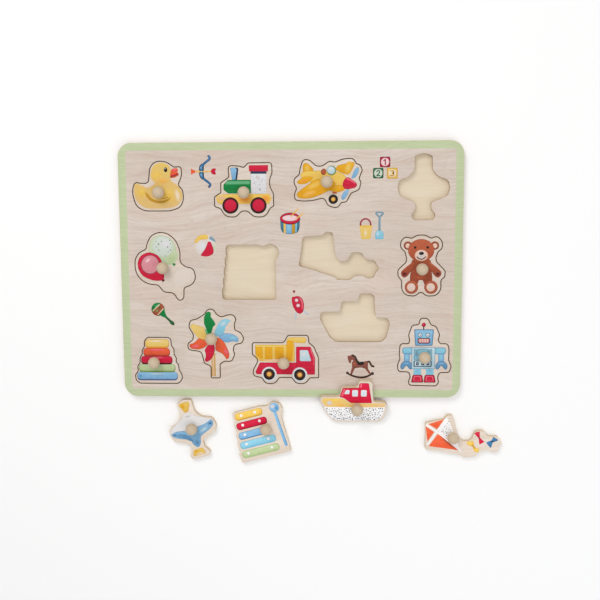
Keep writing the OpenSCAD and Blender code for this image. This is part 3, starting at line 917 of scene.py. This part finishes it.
def draw_balloons(p):
    p.blob("faded", [
        (200, -60), (140, -150), (150, -260), (220, -310), (310, -270), (410, -220), (445, -130),
        (410, -50), (310, -25),
    ])
    p.curve("faded", [(155, 0), (125, -150), (190, -300), (235, -430)], 10)
    p.curve("faded", [(-20, -235), (80, -300), (170, -360), (235, -440)], 10)
    p.blob("pale_green", [
        (-265, 270), (-220, 160), (-80, 60), (100, 30), (175, 100), (195, 220), (165, 340), (70, 430),
        (-80, 465), (-210, 410),
    ])
    p.oval("leaf>pale_green", 120, 130, 90, 130, -30)
    p.oval("pale_mint", -30, 295, 175, 175)
    p.oval("white>pale_mint", 20, 330, 110, 100)
    for x, y, r in (
        (-100, 335, 14), (-50, 375, 11), (-140, 375, 9), (-100, 245, 11), (100, 245, 11), (50, 290, 12),
        (100, 340, 9), (90, 390, 10), (5, 160, 10), (-140, 290, 9), (60, 215, 9),
    ):
        p.dot("grey", x, y, r)
    p.blob("crimson", [
        (-462, 30), (-430, 130), (-350, 190), (-250, 210), (-140, 175), (-70, 110), (-45, 30),
        (-20, -100), (-30, -195), (-100, -213), (-220, -205), (-360, -150), (-435, -70),
    ])
    p.oval("wine", -250, 30, 158, 163, -20)
    p.oval("pink", -250, 30, 150, 155, -20)
    p.oval("petal>pink", -290, 90, 60, 30, 35)
    p.poly("green", [(135, 55), (190, 36), (150, 5), (130, 20)], r=10)
    p.poly("maroon", [(-60, -200), (-50, -240), (-8, -208), (-20, -190)], r=10)


def draw_xylophone(p):
    bars = (
        ("yellow", "ochre", -390, 130, 460), ("crimson", "claret", -410, 170, 275),
        ("blue", "steel", -420, 200, 85), ("light_blue", "light_blue", -440, 240, -100),
        ("leaf", "leaf", -450, 260, -280),
    )
    height = 145
    for name, dark, left, right, top in bars:
        p.block(dark, left, right, top, top - height, r=70)
        p.block(name, left + 4, right - 10, top - 2, top - height + 18, r=60)
        for x in (left + 120, right - 140):
            p.dot("snow", x, top - height / 2 + 12, 27)
    p.line("blue", [(345, 300), (388, -360)], 56)
    p.line("steel", [(365, 300), (408, -360)], 14)
    p.dot("blue", 360, 395, 90)
    p.tints("blue", ("steel", 400, 380, 45, 70), ("silver", 335, 420, 50, 50))


def draw_kite(p):
    p.poly("snow", [(-290, 190), (-180, 420), (-150, 410), (-100, 80), (-55, -270), (-290, 110)], r=10)
    p.poly("orange_red", [(-455, 320), (-458, -30), (-355, 165)], r=10)
    p.poly("orange_red", [(-415, 360), (-205, 424), (-310, 220)], r=10)
    p.poly("orange_red", [(-450, -135), (-310, 110), (-150, -140), (-55, -320)], r=10)
    p.oval("russet>orange_red", -190, -110, 150, 30, -50)
    p.line("snow", [(-438, 345), (-320, 165), (-40, -340)], 20)
    p.line("snow", [(-460, -100), (-320, 165), (-170, 440)], 20)
    p.curve("silver", [
        (-40, -340), (70, -240), (140, -270), (220, -100), (300, -200), (380, -215),
    ], 6)
    p.poly("yellow", [(55, -140), (140, -145), (142, -270), (120, -280), (45, -210)], r=15)
    p.poly("yellow", [
        (125, -265), (145, -290), (200, -340), (190, -420), (135, -400), (118, -310),
    ], r=15)
    p.line("ochre", [(118, -235), (145, -315)], 18)
    p.poly("crimson", [(160, 20), (195, 45), (235, 45), (226, -110), (212, -105)], r=6)
    p.poly("crimson", [(209, -75), (228, -90), (278, -200), (245, -225), (210, -245)], r=6)
    p.line("maroon", [(214, -75), (224, -115)], 12)
    p.poly("deep_blue", [(300, -220), (370, -185), (392, -215), (352, -360), (325, -300)], r=6)
    p.poly("deep_blue", [(402, -112), (452, -180), (455, -210), (390, -235), (370, -200)], r=6)
    p.line("navy", [(366, -205), (394, -222)], 18)


def draw_bear(p):
    for x in (-305, 260):
        p.dot("russet", x, 325, 88)
        p.discs(x, 322, chestnut=62, blush=54)
    p.blob("russet", [
        (-190, 100), (-220, -30), (-250, -160), (-240, -280), (-120, -330), (-60, -235), (10, -235),
        (80, -330), (200, -280), (210, -160), (180, -30), (150, 100),
    ])
    p.oval("brown>russet", -20, -190, 140, 60)
    arm = [
        (-160, 70), (-300, 0), (-425, -85), (-440, -145), (-390, -190), (-320, -175), (-240, -100),
        (-170, -50),
    ]
    for side, points, x in ((-1, arm, -370), (1, mirrored(arm, -20), 330)):
        p.blob("russet", points)
        p.oval("maroon>russet", x, -135, 65, 50)
        shine = [(x - 190 * side, 50), (x - 60 * side, -15), (x + 50 * side, -90)]
        p.curve("brown", shine, 22)
    for x in (-220, 190):
        p.dot("brown", x, -350, 142)
        p.dot("maroon", x - 3, -352, 100)
        p.dot("blush", x - 5, -352, 93)
        p.oval("silver>blush", x - 10, -352, 60, 60)
    p.oval("brown", -25, 250, 275, 235)
    p.oval("blush", -20, 165, 140, 120)
    p.oval("silver>blush", -20, 165, 110, 95)
    p.curve("black", [(-110, 143), (-70, 115), (-20, 105), (30, 115), (72, 145)], 20)
    p.oval("black", -20, 200, 52, 36)
    p.dot("grey", -30, 212, 8)
    for x in (-152, 108):
        p.dot("black", x, 295, 27)


def draw_rings(p):
    rings = (
        ("blue", "violet", -472, 412, -250, -445), ("leaf", "olive", -430, 365, -78, -262),
        ("crimson", "maroon", -380, 305, 100, -88), ("orange_red", "red_brown", -325, 255, 276, 88),
        ("lemon", "orange", -280, 240, 470, 272),
    )
    for name, dark, left, right, top, bottom in rings:
        p.block(dark, left, right, top, bottom, r=85)
        p.block(name, left + 6, right - 6, top - 4, bottom + 30, r=75)
    shines = (
        ("pale_blue>blue", -295), ("pale_green>leaf", -122), ("rose>crimson", 60),
        ("rose>orange_red", 233), ("cream>lemon", 425),
    )
    for name, y in shines:
        p.oval(name, -40, y, 200, 30)
    p.oval("steel>blue", -400, -345, 50, 50)


def draw_pinwheel(p):
    p.block("ochre", -80, -10, -120, -453, r=10)
    p.block("tan", -68, -27, -120, -453, r=8)
    p.poly("lemon", [
        (-450, 270), (-400, 300), (-300, 275), (-200, 245), (-150, 170), (-120, 90), (-200, 65),
        (-290, 85), (-350, 140), (-410, 200),
    ], r=20)
    p.poly("blue", [
        (40, 120), (160, 167), (280, 160), (380, 120), (412, 70), (390, 40), (300, 52), (200, 30),
        (130, 50),
    ], r=30)
    p.poly("light_blue", [
        (280, 345), (200, 372), (120, 360), (50, 300), (-10, 200), (-20, 120), (100, 135), (150, 170),
        (180, 260), (220, 310),
    ], r=20)
    p.oval("pale_blue>light_blue", 140, 300, 70, 45, 30)
    p.oval("light_blue>blue", 310, 100, 80, 35)
    p.poly("mint", [(-190, 220), (-160, 140), (-110, 140), (-100, 220)], r=10)
    p.poly("green", [
        (-120, 475), (-75, 460), (-80, 400), (-20, 335), (5, 290), (-45, 250), (-75, 170), (-95, 120),
        (-150, 200), (-200, 300), (-200, 390), (-165, 455),
    ], r=15)
    p.poly("orange_red", [
        (20, 100), (90, 90), (150, 40), (200, -40), (240, -130), (230, -190), (190, -210), (155, -170),
        (120, -130), (40, -100), (-10, -70), (0, 20),
    ], r=20)
    p.poly("orange_red", [
        (-470, -20), (-460, 10), (-400, 20), (-350, 50), (-300, 95), (-240, 80), (-150, 50), (-140, 0),
        (-220, -50), (-320, -70), (-440, -55),
    ], r=20)
    p.tints("orange_red", ("rose", 180, -100, 35, 80, 20), ("rose", -360, -20, 80, 30, 10))
    p.poly("crimson", [
        (-30, 10), (-15, -80), (-45, -160), (-100, -220), (-170, -250), (-205, -220), (-180, -180),
        (-180, -130), (-200, -80), (-160, -20), (-100, 10),
    ], r=20)


def draw_truck(p):
    p.poly("yellow", [(-460, 60), (-400, -40), (135, -50), (135, 300), (-465, 300)], r=20)
    p.oval("blush>yellow", -150, -20, 220, 25)
    p.poly("gold", [(-460, 250), (-355, 250), (-350, 10), (-380, 10), (-455, 100)], r=12)
    for left, right, bottom in ((-315, -205, -5), (-160, -35, 0)):
        p.block("gold", left, right, 250, bottom, r=12)
    p.poly("yellow", [
        (120, 345), (300, 330), (310, 440), (260, 455), (50, 455), (10, 400), (20, 300),
    ], r=30)
    p.poly("gold", [(10, -30), (90, -30), (120, 300), (120, 360), (40, 400), (12, 330)], r=12)
    p.oval("lemon>yellow", 200, 410, 100, 30)
    p.poly("crimson", [(-465, -270), (-445, -315), (440, -320), (440, -70), (-395, -70)], r=15)
    p.poly("crimson", [(155, -240), (440, -240), (445, 20), (375, 260), (155, 260)], r=15)
    p.line("rose", [(425, -120), (425, 20), (375, 200)], 12)
    p.poly("pale_blue", [(212, -40), (385, -40), (335, 190), (212, 190)], r=15)
    p.oval("white>pale_blue", 270, 100, 50, 40)
    for x, y in ((-255, -315), (210, -325)):
        p.discs(x, y, white=115, black=88, dark_brown=55, hub=36)


def draw_robot(p):
    p.line("maroon", [(-20, 330), (-20, 400)], 22)
    p.dot("maroon", -20, 410, 40)
    p.dot("crimson", -20, 412, 34)
    p.oval("rose>crimson", -32, 418, 18, 18)
    for left, right in ((-203, -58), (35, 178)):
        p.block("light_blue", left, right, -235, -350, r=10)
        p.oval("blue>light_blue", (left + right) / 2, -280, 50, 30)
    shoe = [
        (-245, -440), (-235, -455), (-25, -455), (-15, -440), (-35, -350), (-55, -338), (-200, -338),
        (-220, -350),
    ]
    for points in (shoe, mirrored(shoe, -12)):
        for name, share in (("maroon", 1), ("crimson", 0.9), ("rose", 0.7), ("crimson", 0.52)):
            p.poly(name, sized(points, share), r=12)
    for way, x in ((1, -332), (-1, 318)):
        p.block("blue", x - 56, x + 56, 20, -150, r=20)
        p.oval("light_blue>blue", x, -70, 40, 80)
        cap = x + 22 * way
        p.block("blue", cap - 112, cap + 112, 73, -30, r=70)
        p.block("light_blue", cap - 102, cap + 102, 66, -20, r=60)
        claw = x - 8 * way
        p.blob("steel", [
            (claw - 95, -165), (claw - 43, -136), (claw + 43, -136), (claw + 95, -165),
            (claw + 115, -220), (claw + 88, -258), (claw + 48, -243), (claw, -200), (claw - 48, -243),
            (claw - 88, -258), (claw - 115, -220),
        ])
        p.oval("blue>steel", claw, -168, 70, 22)
    p.block("steel", -242, 204, 78, -250, r=12)
    p.block("pale_blue", -234, 196, 72, -244, r=10)
    p.block("light_blue>pale_blue", -225, 188, 66, -238, r=10)
    p.block("slate", -200, 142, 53, -112, r=15)
    p.block("light_blue", -186, 128, 43, -102, r=10)
    p.tints("light_blue", ("slate", -150, -20, 40, 100), ("slate", 90, 0, 40, 70))
    for x, y in ((-160, 20), (-120, 28), (60, 22), (100, 22), (-165, -30), (100, -40)):
        p.dot("deep_blue", x, y, 9)
    p.block("navy", -203, 140, -124, -218, r=20)
    p.block("pale_blue", -184, 121, -135, -207, r=10)
    for x in (-130, -30, 70):
        p.block("navy", x - 25, x + 25, -147, -195, r=12)
        p.dot("pale_blue", x, -171, 10)
    head = [(-176, 98), (150, 98), (175, 343), (-200, 343)]
    for name, share in (("steel", 1), ("blue", 0.94), ("light_blue>blue", 0.86)):
        p.poly(name, sized(head, share), r=20)
    for x in (-85, 60):
        p.discs(x, 258, deep_blue=44, white=34)
        p.dot("steel", x + 4, 254, 11)
    p.block("maroon", -134, 108, 215, 130, r=45)
    p.block("pink", -121, 95, 205, 140, r=38)
    for x in (-84, -38, 8, 54):
        p.block("blush", x - 13, x + 13, 198, 147, r=5)


def draw_boat(p):
    p.poly("snow", [
        (-450, -100), (-385, -310), (-325, -420), (-250, -470), (360, -470), (422, -390), (452, -250),
        (473, -100),
    ], r=50)
    p.poly("straw", [
        (-475, 0), (-415, -130), (0, -142), (452, -135), (465, -60), (455, -35), (-50, -35), (-160, 85),
        (-460, 85),
    ], r=20)
    p.tints(
        "straw", ("yellow", -300, 30, 130, 40), ("hub", -200, -75, 100, 35), ("tan", 400, -85, 70, 35),
    )
    p.poly("crimson", [
        (-210, 115), (-165, 335), (75, 345), (80, 440), (100, 458), (205, 458), (222, 440), (235, 300),
        (272, -30), (-45, -30), (-150, 95),
    ], r=20)
    p.poly("rose", [(-190, 130), (-150, 315), (-125, 315), (-160, 130)], r=8)
    p.line("rose", [(108, 430), (104, 355)], 22)
    windows = (
        [(-145, 190), (-65, 185), (-60, 290), (-115, 290)],
        box_points(-25, 62, 290, 130), box_points(105, 192, 290, 130),
    )
    for outline in windows:
        p.poly("white", outline, r=20)
        p.poly("pale_blue>white", sized(outline, 0.8), r=12)
    p.discs(-360, -30, cream=42, silver=32)


# Pictures on the board, in tenths of a millimetre from the middle of each

def draw_bow(p):
    p.line("hub", [(-95, 0), (100, 0)], 16)
    p.poly("orange_red", [(-94, 9), (-126, 25), (-146, 37), (-144, -39), (-126, -25), (-94, -9)], r=6)
    limb = [(-22, 12), (-19, 56), (12, 92), (46, 118), (73, 142), (75, 160), (63, 175)]
    belly = [(0, 8), (-44, 8), (-50, 34), (-40, 68), (-16, 90), (14, 96), (6, 54)]
    light = [(-10, 16), (-36, 16), (-43, 38), (-32, 66), (-10, 84), (4, 80), (-6, 50)]
    for way in (1, -1):
        for name, width, outline in (("navy", 27, belly), ("deep_blue", 17, light)):
            p.curve(name, [(x, way * y) for x, y in limb], width)
            p.blob(name, [(x, way * y) for x, y in outline])
        p.oval("blue>deep_blue", -26, way * 40, 10, 24)
    p.block("pale_green", -40, -9, 6, -6, r=4)
    p.blob("crimson", [
        (86, 0), (96, 23), (118, 35), (140, 33), (144, 19), (134, 0), (144, -19), (140, -35), (118, -35),
        (96, -23),
    ])
    p.oval("claret>crimson", 124, 0, 14, 22)


def draw_ball(p):
    p.dot("faded", 6, -2, 132)
    p.tints(
        "faded", ("white", -36, -20, 80, 90), ("white", 66, 60, 36, 36),
        ("pale_green", 114, -20, 20, 60),
    )
    p.blob("yellow", [
        (-122, 26), (-116, 56), (-88, 96), (-46, 120), (0, 127), (32, 116), (41, 84), (14, 70),
        (-32, 68), (-74, 53), (-104, 28),
    ])
    p.oval("lemon>yellow", -90, 56, 30, 20, 50)
    p.poly("slate", [
        (52, 73), (62, 106), (81, 106), (108, 80), (128, 48), (131, 33), (116, 44), (88, 56),
    ], r=8)
    p.blob("crimson", [
        (36, 34), (52, 44), (69, 38), (86, 0), (100, -40), (102, -76), (88, -104), (54, -123),
        (15, -131), (-24, -127), (-50, -115), (-36, -92), (-10, -60), (13, -20),
    ])


def draw_drum(p):
    p.poly("teal", [
        (-113, 70), (-108, -40), (-89, -82), (-30, -101), (30, -101), (90, -82), (110, -40), (117, 70),
    ], r=16)
    p.poly("yellow", [(-76, 35), (-49, 28), (-47, -94), (-72, -86)], r=4)
    p.poly("blue", [(-47, 35), (20, 30), (20, -98), (-45, -93)], r=4)
    p.oval("light_blue>blue", -13, -30, 24, 50)
    p.poly("ochre", [(22, 30), (58, 35), (58, -90), (23, -98)], r=4)
    p.poly("light_blue", [(64, 35), (82, 36), (78, -80), (62, -86)], r=4)
    p.oval("maroon", 2, 78, 118, 69)
    p.oval("crimson", 2, 80, 115, 65)
    p.oval("maroon", 2, 86, 94, 40)
    p.oval("petal", 2, 84, 91, 36)
    p.oval("white>petal", -20, 78, 50, 18)
    p.line("hub", [(12, 106), (96, 190)], 13)
    p.line("hub", [(72, 78), (150, 130)], 13)


def draw_blocks(p):
    one = [[(3, 30), (3, -30)], [(2, 28), (-15, 16)]]
    two = [[(-17, 15), (-7, 29), (11, 28), (16, 13), (1, -9), (-16, -27)], [(-17, -28), (19, -28)]]
    three = [[(-16, 24), (2, 29), (16, 17), (1, 2), (18, -13), (2, -29), (-18, -23)]]
    blocks = (
        ("claret", "petal", "wine", -3, 79, 60, one),
        ("fir", "pale_mint", "forest", -80, -47, 60, two),
        ("yellow", "cream", "ochre", 80, -49, 62, three),
    )
    for name, pale, dark, x, y, half, strokes in blocks:
        for tone, reach, r in ((dark, half, 18), (name, half - 5, 15)):
            p.block(tone, x - reach, x + reach, y + reach, y - reach, r=r)
        p.dot(pale, x, y, 48)
        for stroke in strokes:
            draw = p.curve if len(stroke) > 2 else p.line
            draw(dark, [(x + u, y + v) for u, v in stroke], 13)


def draw_bucket(p):
    p.curve("wine", [
        (-60, 50), (-58, 90), (-34, 122), (-2, 132), (30, 120), (52, 90), (56, 50),
    ], 19)
    p.poly("lemon", [(-50, -104), (50, -104), (78, 46), (-74, 46)], r=14)
    p.oval("cream>lemon", -4, -34, 20, 50)
    p.oval("yellow", 2, 46, 76, 13)


def draw_spade(p):
    p.poly("slate", [(-44, 154), (38, 154), (50, 128), (8, 84), (-10, 84), (-55, 128)], r=12)
    p.poly("faded", [(-30, 134), (24, 134), (2, 110), (-6, 110)], r=5)
    p.line("slate", [(-2, 90), (-2, -70)], 25)
    p.poly("light_blue", [(-50, -164), (46, -164), (46, -92), (28, -65), (-32, -65), (-51, -92)], r=10)
    p.oval("pale_blue>light_blue", -22, -106, 16, 30)


def draw_rocket(p):
    p.line("mist", [(-26, -90), (-32, -152)], 20)
    p.line("mist", [(64, -64), (114, -106)], 20)
    p.blob("crimson", [
        (-71, 96), (-72, 40), (-55, -20), (-26, -70), (5, -94), (38, -92), (62, -60), (70, 0), (60, 54),
        (34, 98), (-10, 111), (-46, 104),
    ])
    p.curve("rose", [(22, 90), (42, 52), (52, 4), (49, -36)], 15)
    p.curve("wine", [(6, 92), (28, 52), (35, 10)], 8)
    for x, y in ((-18, 62), (0, 0)):
        p.discs(x, y, wine=26, petal=21)
    p.dot("wine", -47, 166, 16)


def draw_maraca(p):
    p.line("forest", [(30, -10), (130, -106)], 27)
    p.oval("forest", 130, -108, 37, 22, -44)
    p.poly("green", [(-20, -16), (42, 54), (56, 0), (74, -36), (46, -46)], r=10)
    shell = (-33, 54, 79)
    p.dot("russet", *shell)
    p.oval("olive>russet", -46, 36, 28, 18, 45)
    p.poly("green", arc_points(*shell, 65, 195))
    p.oval("mint>green", -46, 94, 38, 17, 30)
    p.poly("green", arc_points(*shell, -88, 12))
    p.oval("forest>green", -90, 64, 16, 40)
    p.oval("forest>russet", -12, 74, 26, 15, 45)
    p.line("cream", [(-94, 36), (-14, 110)], 9)
    p.line("cream", [(-36, -10), (30, 62)], 9)


def draw_horse(p):
    p.curve("umber", [
        (-154, -86), (-110, -110), (-60, -129), (10, -140), (80, -128), (148, -93),
    ], 23)
    p.dot("umber", -150, -85, 16)
    p.dot("umber", 146, -92, 19)
    p.curve("umber", [(82, 44), (108, 51), (124, 24), (138, 2), (160, -6)], 24)
    p.poly("chestnut", [(-90, 4), (-50, -10), (-80, -70), (-94, -106), (-114, -98), (-104, -54)], r=6)
    p.poly("chestnut", [(44, -6), (88, 10), (98, -40), (128, -90), (110, -100), (74, -54)], r=6)
    p.blob("chestnut", [
        (-86, 54), (-50, 76), (-24, 46), (30, 44), (65, 57), (90, 38), (92, -5), (78, -32), (52, -32),
        (15, -20), (-35, -25), (-66, -26), (-92, -4), (-96, 28),
    ])
    p.oval("brown>chestnut", -70, 24, 18, 30)
    p.blob("chestnut", [
        (-147, 112), (-116, 125), (-80, 131), (-50, 110), (-28, 64), (-50, 40), (-76, 54), (-90, 71),
        (-102, 64), (-109, 37), (-125, 34), (-140, 70),
    ])
    p.curve("umber", [(-88, 126), (-60, 108), (-46, 74), (-24, 46)], 26)
    p.poly("black", [(-36, 46), (40, 51), (52, 24), (26, 9), (-28, 10)], r=10)
    p.dot("black", -108, 100, 5)


# Specks that a node tree scatters over part of a picture

def speck_tree():
    """Scatters low round specks over a flat mesh, no two closer than a named gap."""
    tree = bpy.data.node_groups.new("specks", "GeometryNodeTree")
    sockets = (
        ("Geometry", "Geometry"), ("Least gap", "Float"), ("Most per area", "Float"),
        ("Speck radius", "Float"), ("Speck height", "Float"), ("Seed", "Int"), ("Ink", "Material"),
    )
    for name, kind in sockets:
        tree.interface.new_socket(name, in_out="INPUT", socket_type=f"NodeSocket{kind}")
    tree.interface.new_socket("Geometry", in_out="OUTPUT", socket_type="NodeSocketGeometry")
    nodes = Nodes(tree)
    given = nodes.add("NodeGroupInput").outputs
    scatter = nodes.add("GeometryNodeDistributePointsOnFaces", {
        "Mesh": given["Geometry"], "Distance Min": given["Least gap"],
        "Density Max": given["Most per area"], "Seed": given["Seed"],
    }, distribute_method="POISSON")
    speck = nodes.add("GeometryNodeMeshCylinder", {
        "Vertices": SPECK_SIDES, "Radius": given["Speck radius"], "Depth": given["Speck height"],
    })
    least, most = SPECK_SIZES
    size = nodes.add(
        "FunctionNodeRandomValue", {2: least, 3: most, "Seed": given["Seed"]}, data_type="FLOAT",
    )
    place = nodes.add("GeometryNodeInstanceOnPoints", {
        "Points": scatter.outputs["Points"], "Rotation": scatter.outputs["Rotation"],
        "Instance": speck.outputs["Mesh"], "Scale": size.outputs[1],
    })
    real = nodes.add("GeometryNodeRealizeInstances", {0: place.outputs[0]})
    inked = {"Geometry": real.outputs[0], "Material": given["Ink"]}
    paint = nodes.add("GeometryNodeSetMaterial", inked)
    nodes.add("NodeGroupOutput", {0: paint.outputs[0]})
    return tree


def speck_bed(name, face, outline):
    """The flat mesh that specks are scattered over, for an outline in steps of the face."""
    top = INK_T + SPECK_LEVEL * INK_STEP
    across, up = face.steps
    shape = bmesh.new()
    shape.faces.new([shape.verts.new((x * across, y * up, top)) for x, y in outline])
    shape.transform(face.matrix)
    mesh = mesh_of(name, shape)
    store(mesh, face.to_sheet)
    return placed(f"{name}_bed", mesh)


def scatter_specks(name, face, body, outline, ink_name, gap, radius, seed):
    """Specks of one ink over an outline in steps of the face."""
    bed = speck_bed(name, face, outline)
    modifier = bed.modifiers.new("specks", "NODES")
    modifier.node_group = specks
    values = {
        "Least gap": gap, "Most per area": SPECK_TRIES / gap ** 2, "Speck radius": radius,
        "Speck height": 2 * INK_STEP, "Seed": seed, "Ink": ink(ink_name),
    }
    for item in specks.interface.items_tree:
        if item.in_out == "INPUT" and item.name in values:
            modifier[item.identifier] = values[item.name]
    bed.update_tag()
    bpy.context.view_layer.update()
    made = bpy.data.meshes.new_from_object(bed.evaluated_get(bpy.context.evaluated_depsgraph_get()))
    bpy.data.objects.remove(bed)
    made.name = name
    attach(placed(name, made), body)


# The object

cad_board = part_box("face_panel")
# Painted shade and light: the seated toys' edges are darker and more scorched, as they stand in the
# kerfs, and the loose toys' edges lighter and barely scorched, as they lie in the open light
shaded_toy_edge = sawn_edge("shaded_toy_edge", 0.5, 1.4 * MM)
lit_loose_edge = sawn_edge("lit_loose_edge", 0.12, 1.4 * MM, "#CBB291", "#E9D8BE")
recess_edge = sawn_edge("recess_edge", 0.3, 3 * MM)
# Painted shade: the kerf walls are darker and more deeply scorched than the recess walls
shaded_kerf_edge = sawn_edge("shaded_kerf_edge", 0.65, 4 * MM)
plain_edge = sawn_edge("plain_edge", 0, MM)
knob_wood = turned_wood()
board_wood = veneer("face_veneer", "#CEBFB3", "#D9CDC3", "#DAC5B6", "#BDA392", band=True)
toy_wood = veneer("toy_veneer", "#D2C3B5", "#DED2C6", "#DDC9BA", "#C2A997", 0.8)
# Painted light: a lighter copy of the seated toys' veneer, with fainter figure, for the toys that lie in
# the open light
lit_loose_wood = veneer("lit_loose_toy_veneer", "#E2D2C1", "#EDE0D2", "#EAD5C3", "#CFB7A2", 0.7)
floor_wood = veneer("recess_veneer", "#D9CAB1", "#E2D5BE", "#E0CFB2", "#CFBC9E", 0.5)
specks = speck_tree()

board_edges = [recess_edge, plain_edge, shaded_kerf_edge]
sheet_piece("board_face", "face_panel", [board_wood, *board_edges], "board")
back_skins = [floor_wood, *board_edges]
sheet_piece("board_back", "back_panel", back_skins, "board", sides=(-UP,))

DRAWINGS = {
    "duck": draw_duck, "train": draw_train, "plane": draw_plane, "spinning_top": draw_spinning_top,
    "balloons": draw_balloons, "xylophone": draw_xylophone, "kite": draw_kite, "bear": draw_bear,
    "boat": draw_boat, "rings": draw_rings, "pinwheel": draw_pinwheel, "truck": draw_truck,
    "robot": draw_robot,
}
# A picture's size where it isn't its plate's, and its shift across and up in steps of the plate
PRINT_FIT = {
    "duck": (1.03, 10, 12), "bear": (1.025, 12, 0), "pinwheel": (1.03, 0, -15), "truck": (1.01, 6, 8),
}
# The middle of each picture on the board, in millimetres
BOARD_DRAWINGS = {
    "bow": (draw_bow, -100, 116.5), "ball": (draw_ball, -100, 31), "drum": (draw_drum, 0, 54),
    "blocks": (draw_blocks, 110, 118), "bucket": (draw_bucket, 88, 48), "spade": (draw_spade, 104, 54),
    "rocket": (draw_rocket, 9, -40), "maraca": (draw_maraca, -154, -50), "horse": (draw_horse, 82, -112),
}


def print_picture(name, face, body, draw):
    picture = Picture(f"{name}_picture", face, body)
    draw(picture)
    picture.done()


faces = {}
for toy in TOYS:
    faces[toy] = dress_toy(toy)
    if toy in PRINT_FIT:
        faces[toy].fit(*PRINT_FIT[toy])
    print_picture(toy, faces[toy], toy, DRAWINGS[toy])

for name, (draw, x, y) in BOARD_DRAWINGS.items():
    middle = Vector((x * MM, y * MM, cad_board[1].z))
    face = Face(middle, Vector((1, 0, 0)), Vector((0, 1, 0)), (BOARD_STEP, BOARD_STEP), Matrix())
    print_picture(name, face, "board", draw)

hull = [(-420, -160), (-360, -330), (-260, -450), (350, -450), (410, -360), (450, -160)]
sail = [(-270, 190), (-80, -200), (-150, 380)]
cab = box_points(140, 370, 280, -50)
# The toy, the outline, the ink, the least gap and the radius in millimetres, and the seed
SPECKS = {
    "boat_specks": ("boat", hull, "soot", 2.2, 0.66, 3),
    "boat_blue_specks": ("boat", hull, "violet", 4.6, 0.66, 8),
    "boat_green_specks": ("boat", hull, "olive", 5.4, 0.66, 11),
    "kite_specks": ("kite", sail, "soot", 2.1, 0.66, 5),
    "train_specks": ("train", cab, "grey", 2.2, 0.32, 7),
    "train_dark_specks": ("train", cab, "soot", 5.5, 0.4, 2),
}
for name, (toy, outline, ink_name, gap, radius, seed) in SPECKS.items():
    scatter_specks(name, faces[toy], toy, outline, ink_name, gap * MM, radius * MM, seed)


# Camera, light and floor

def soft_light(name, place, size, watts, tint):
    """A round lamp that looks at the board's middle."""
    light = bpy.data.lights.new(name, "AREA")
    light.shape = "DISK"
    light.size = size
    light.energy = watts
    light.color = tint
    lamp = placed(name, light)
    lamp.location = place
    lamp.rotation_euler = (Vector() - Vector(place)).to_track_quat("-Z", "Y").to_euler()


def set_camera():
    lens = bpy.data.cameras.new("camera")
    lens.sensor_width = SENSOR_W
    lens.lens = LENS
    camera = placed("camera", lens)
    camera.location = CAMERA_AT
    camera.rotation_euler = Euler([math.radians(a) for a in CAMERA_TURNS])
    bpy.context.scene.camera = camera


def set_sky():
    world = bpy.data.worlds.new("studio")
    bpy.context.scene.world = world
    world.use_nodes = True
    sky = world.node_tree.nodes["Background"].inputs
    sky["Color"].default_value = (1, 1, 1, 1)
    sky["Strength"].default_value = SKY_STRENGTH
    bpy.context.scene.view_settings.view_transform = "Standard"


def lay_floor():
    shape = bmesh.new()
    bmesh.ops.create_grid(shape, x_segments=1, y_segments=1, size=FLOOR_REACH)
    paper = bpy.data.materials.new("paper")
    paper.use_nodes = True
    look = paper.node_tree.nodes["Principled BSDF"].inputs
    look["Base Color"].default_value = (0.97, 0.97, 0.97, 1)
    look["Roughness"].default_value = 0.9
    ground = placed("floor", mesh_of("floor", shape))
    ground.data.materials.append(paper)
    ground.location.z = -FLOOR_DROP


set_camera()
soft_light("key", (-0.6, 1.2, 1.5), 0.9, 12, (1, 0.985, 0.96))
soft_light("fill", (0.9, -0.9, 1.3), 1.4, 5.5, (0.95, 0.97, 1))
soft_light("top", (0, 0, 2), 2, 9.5, (1, 1, 1))
set_sky()
lay_floor()
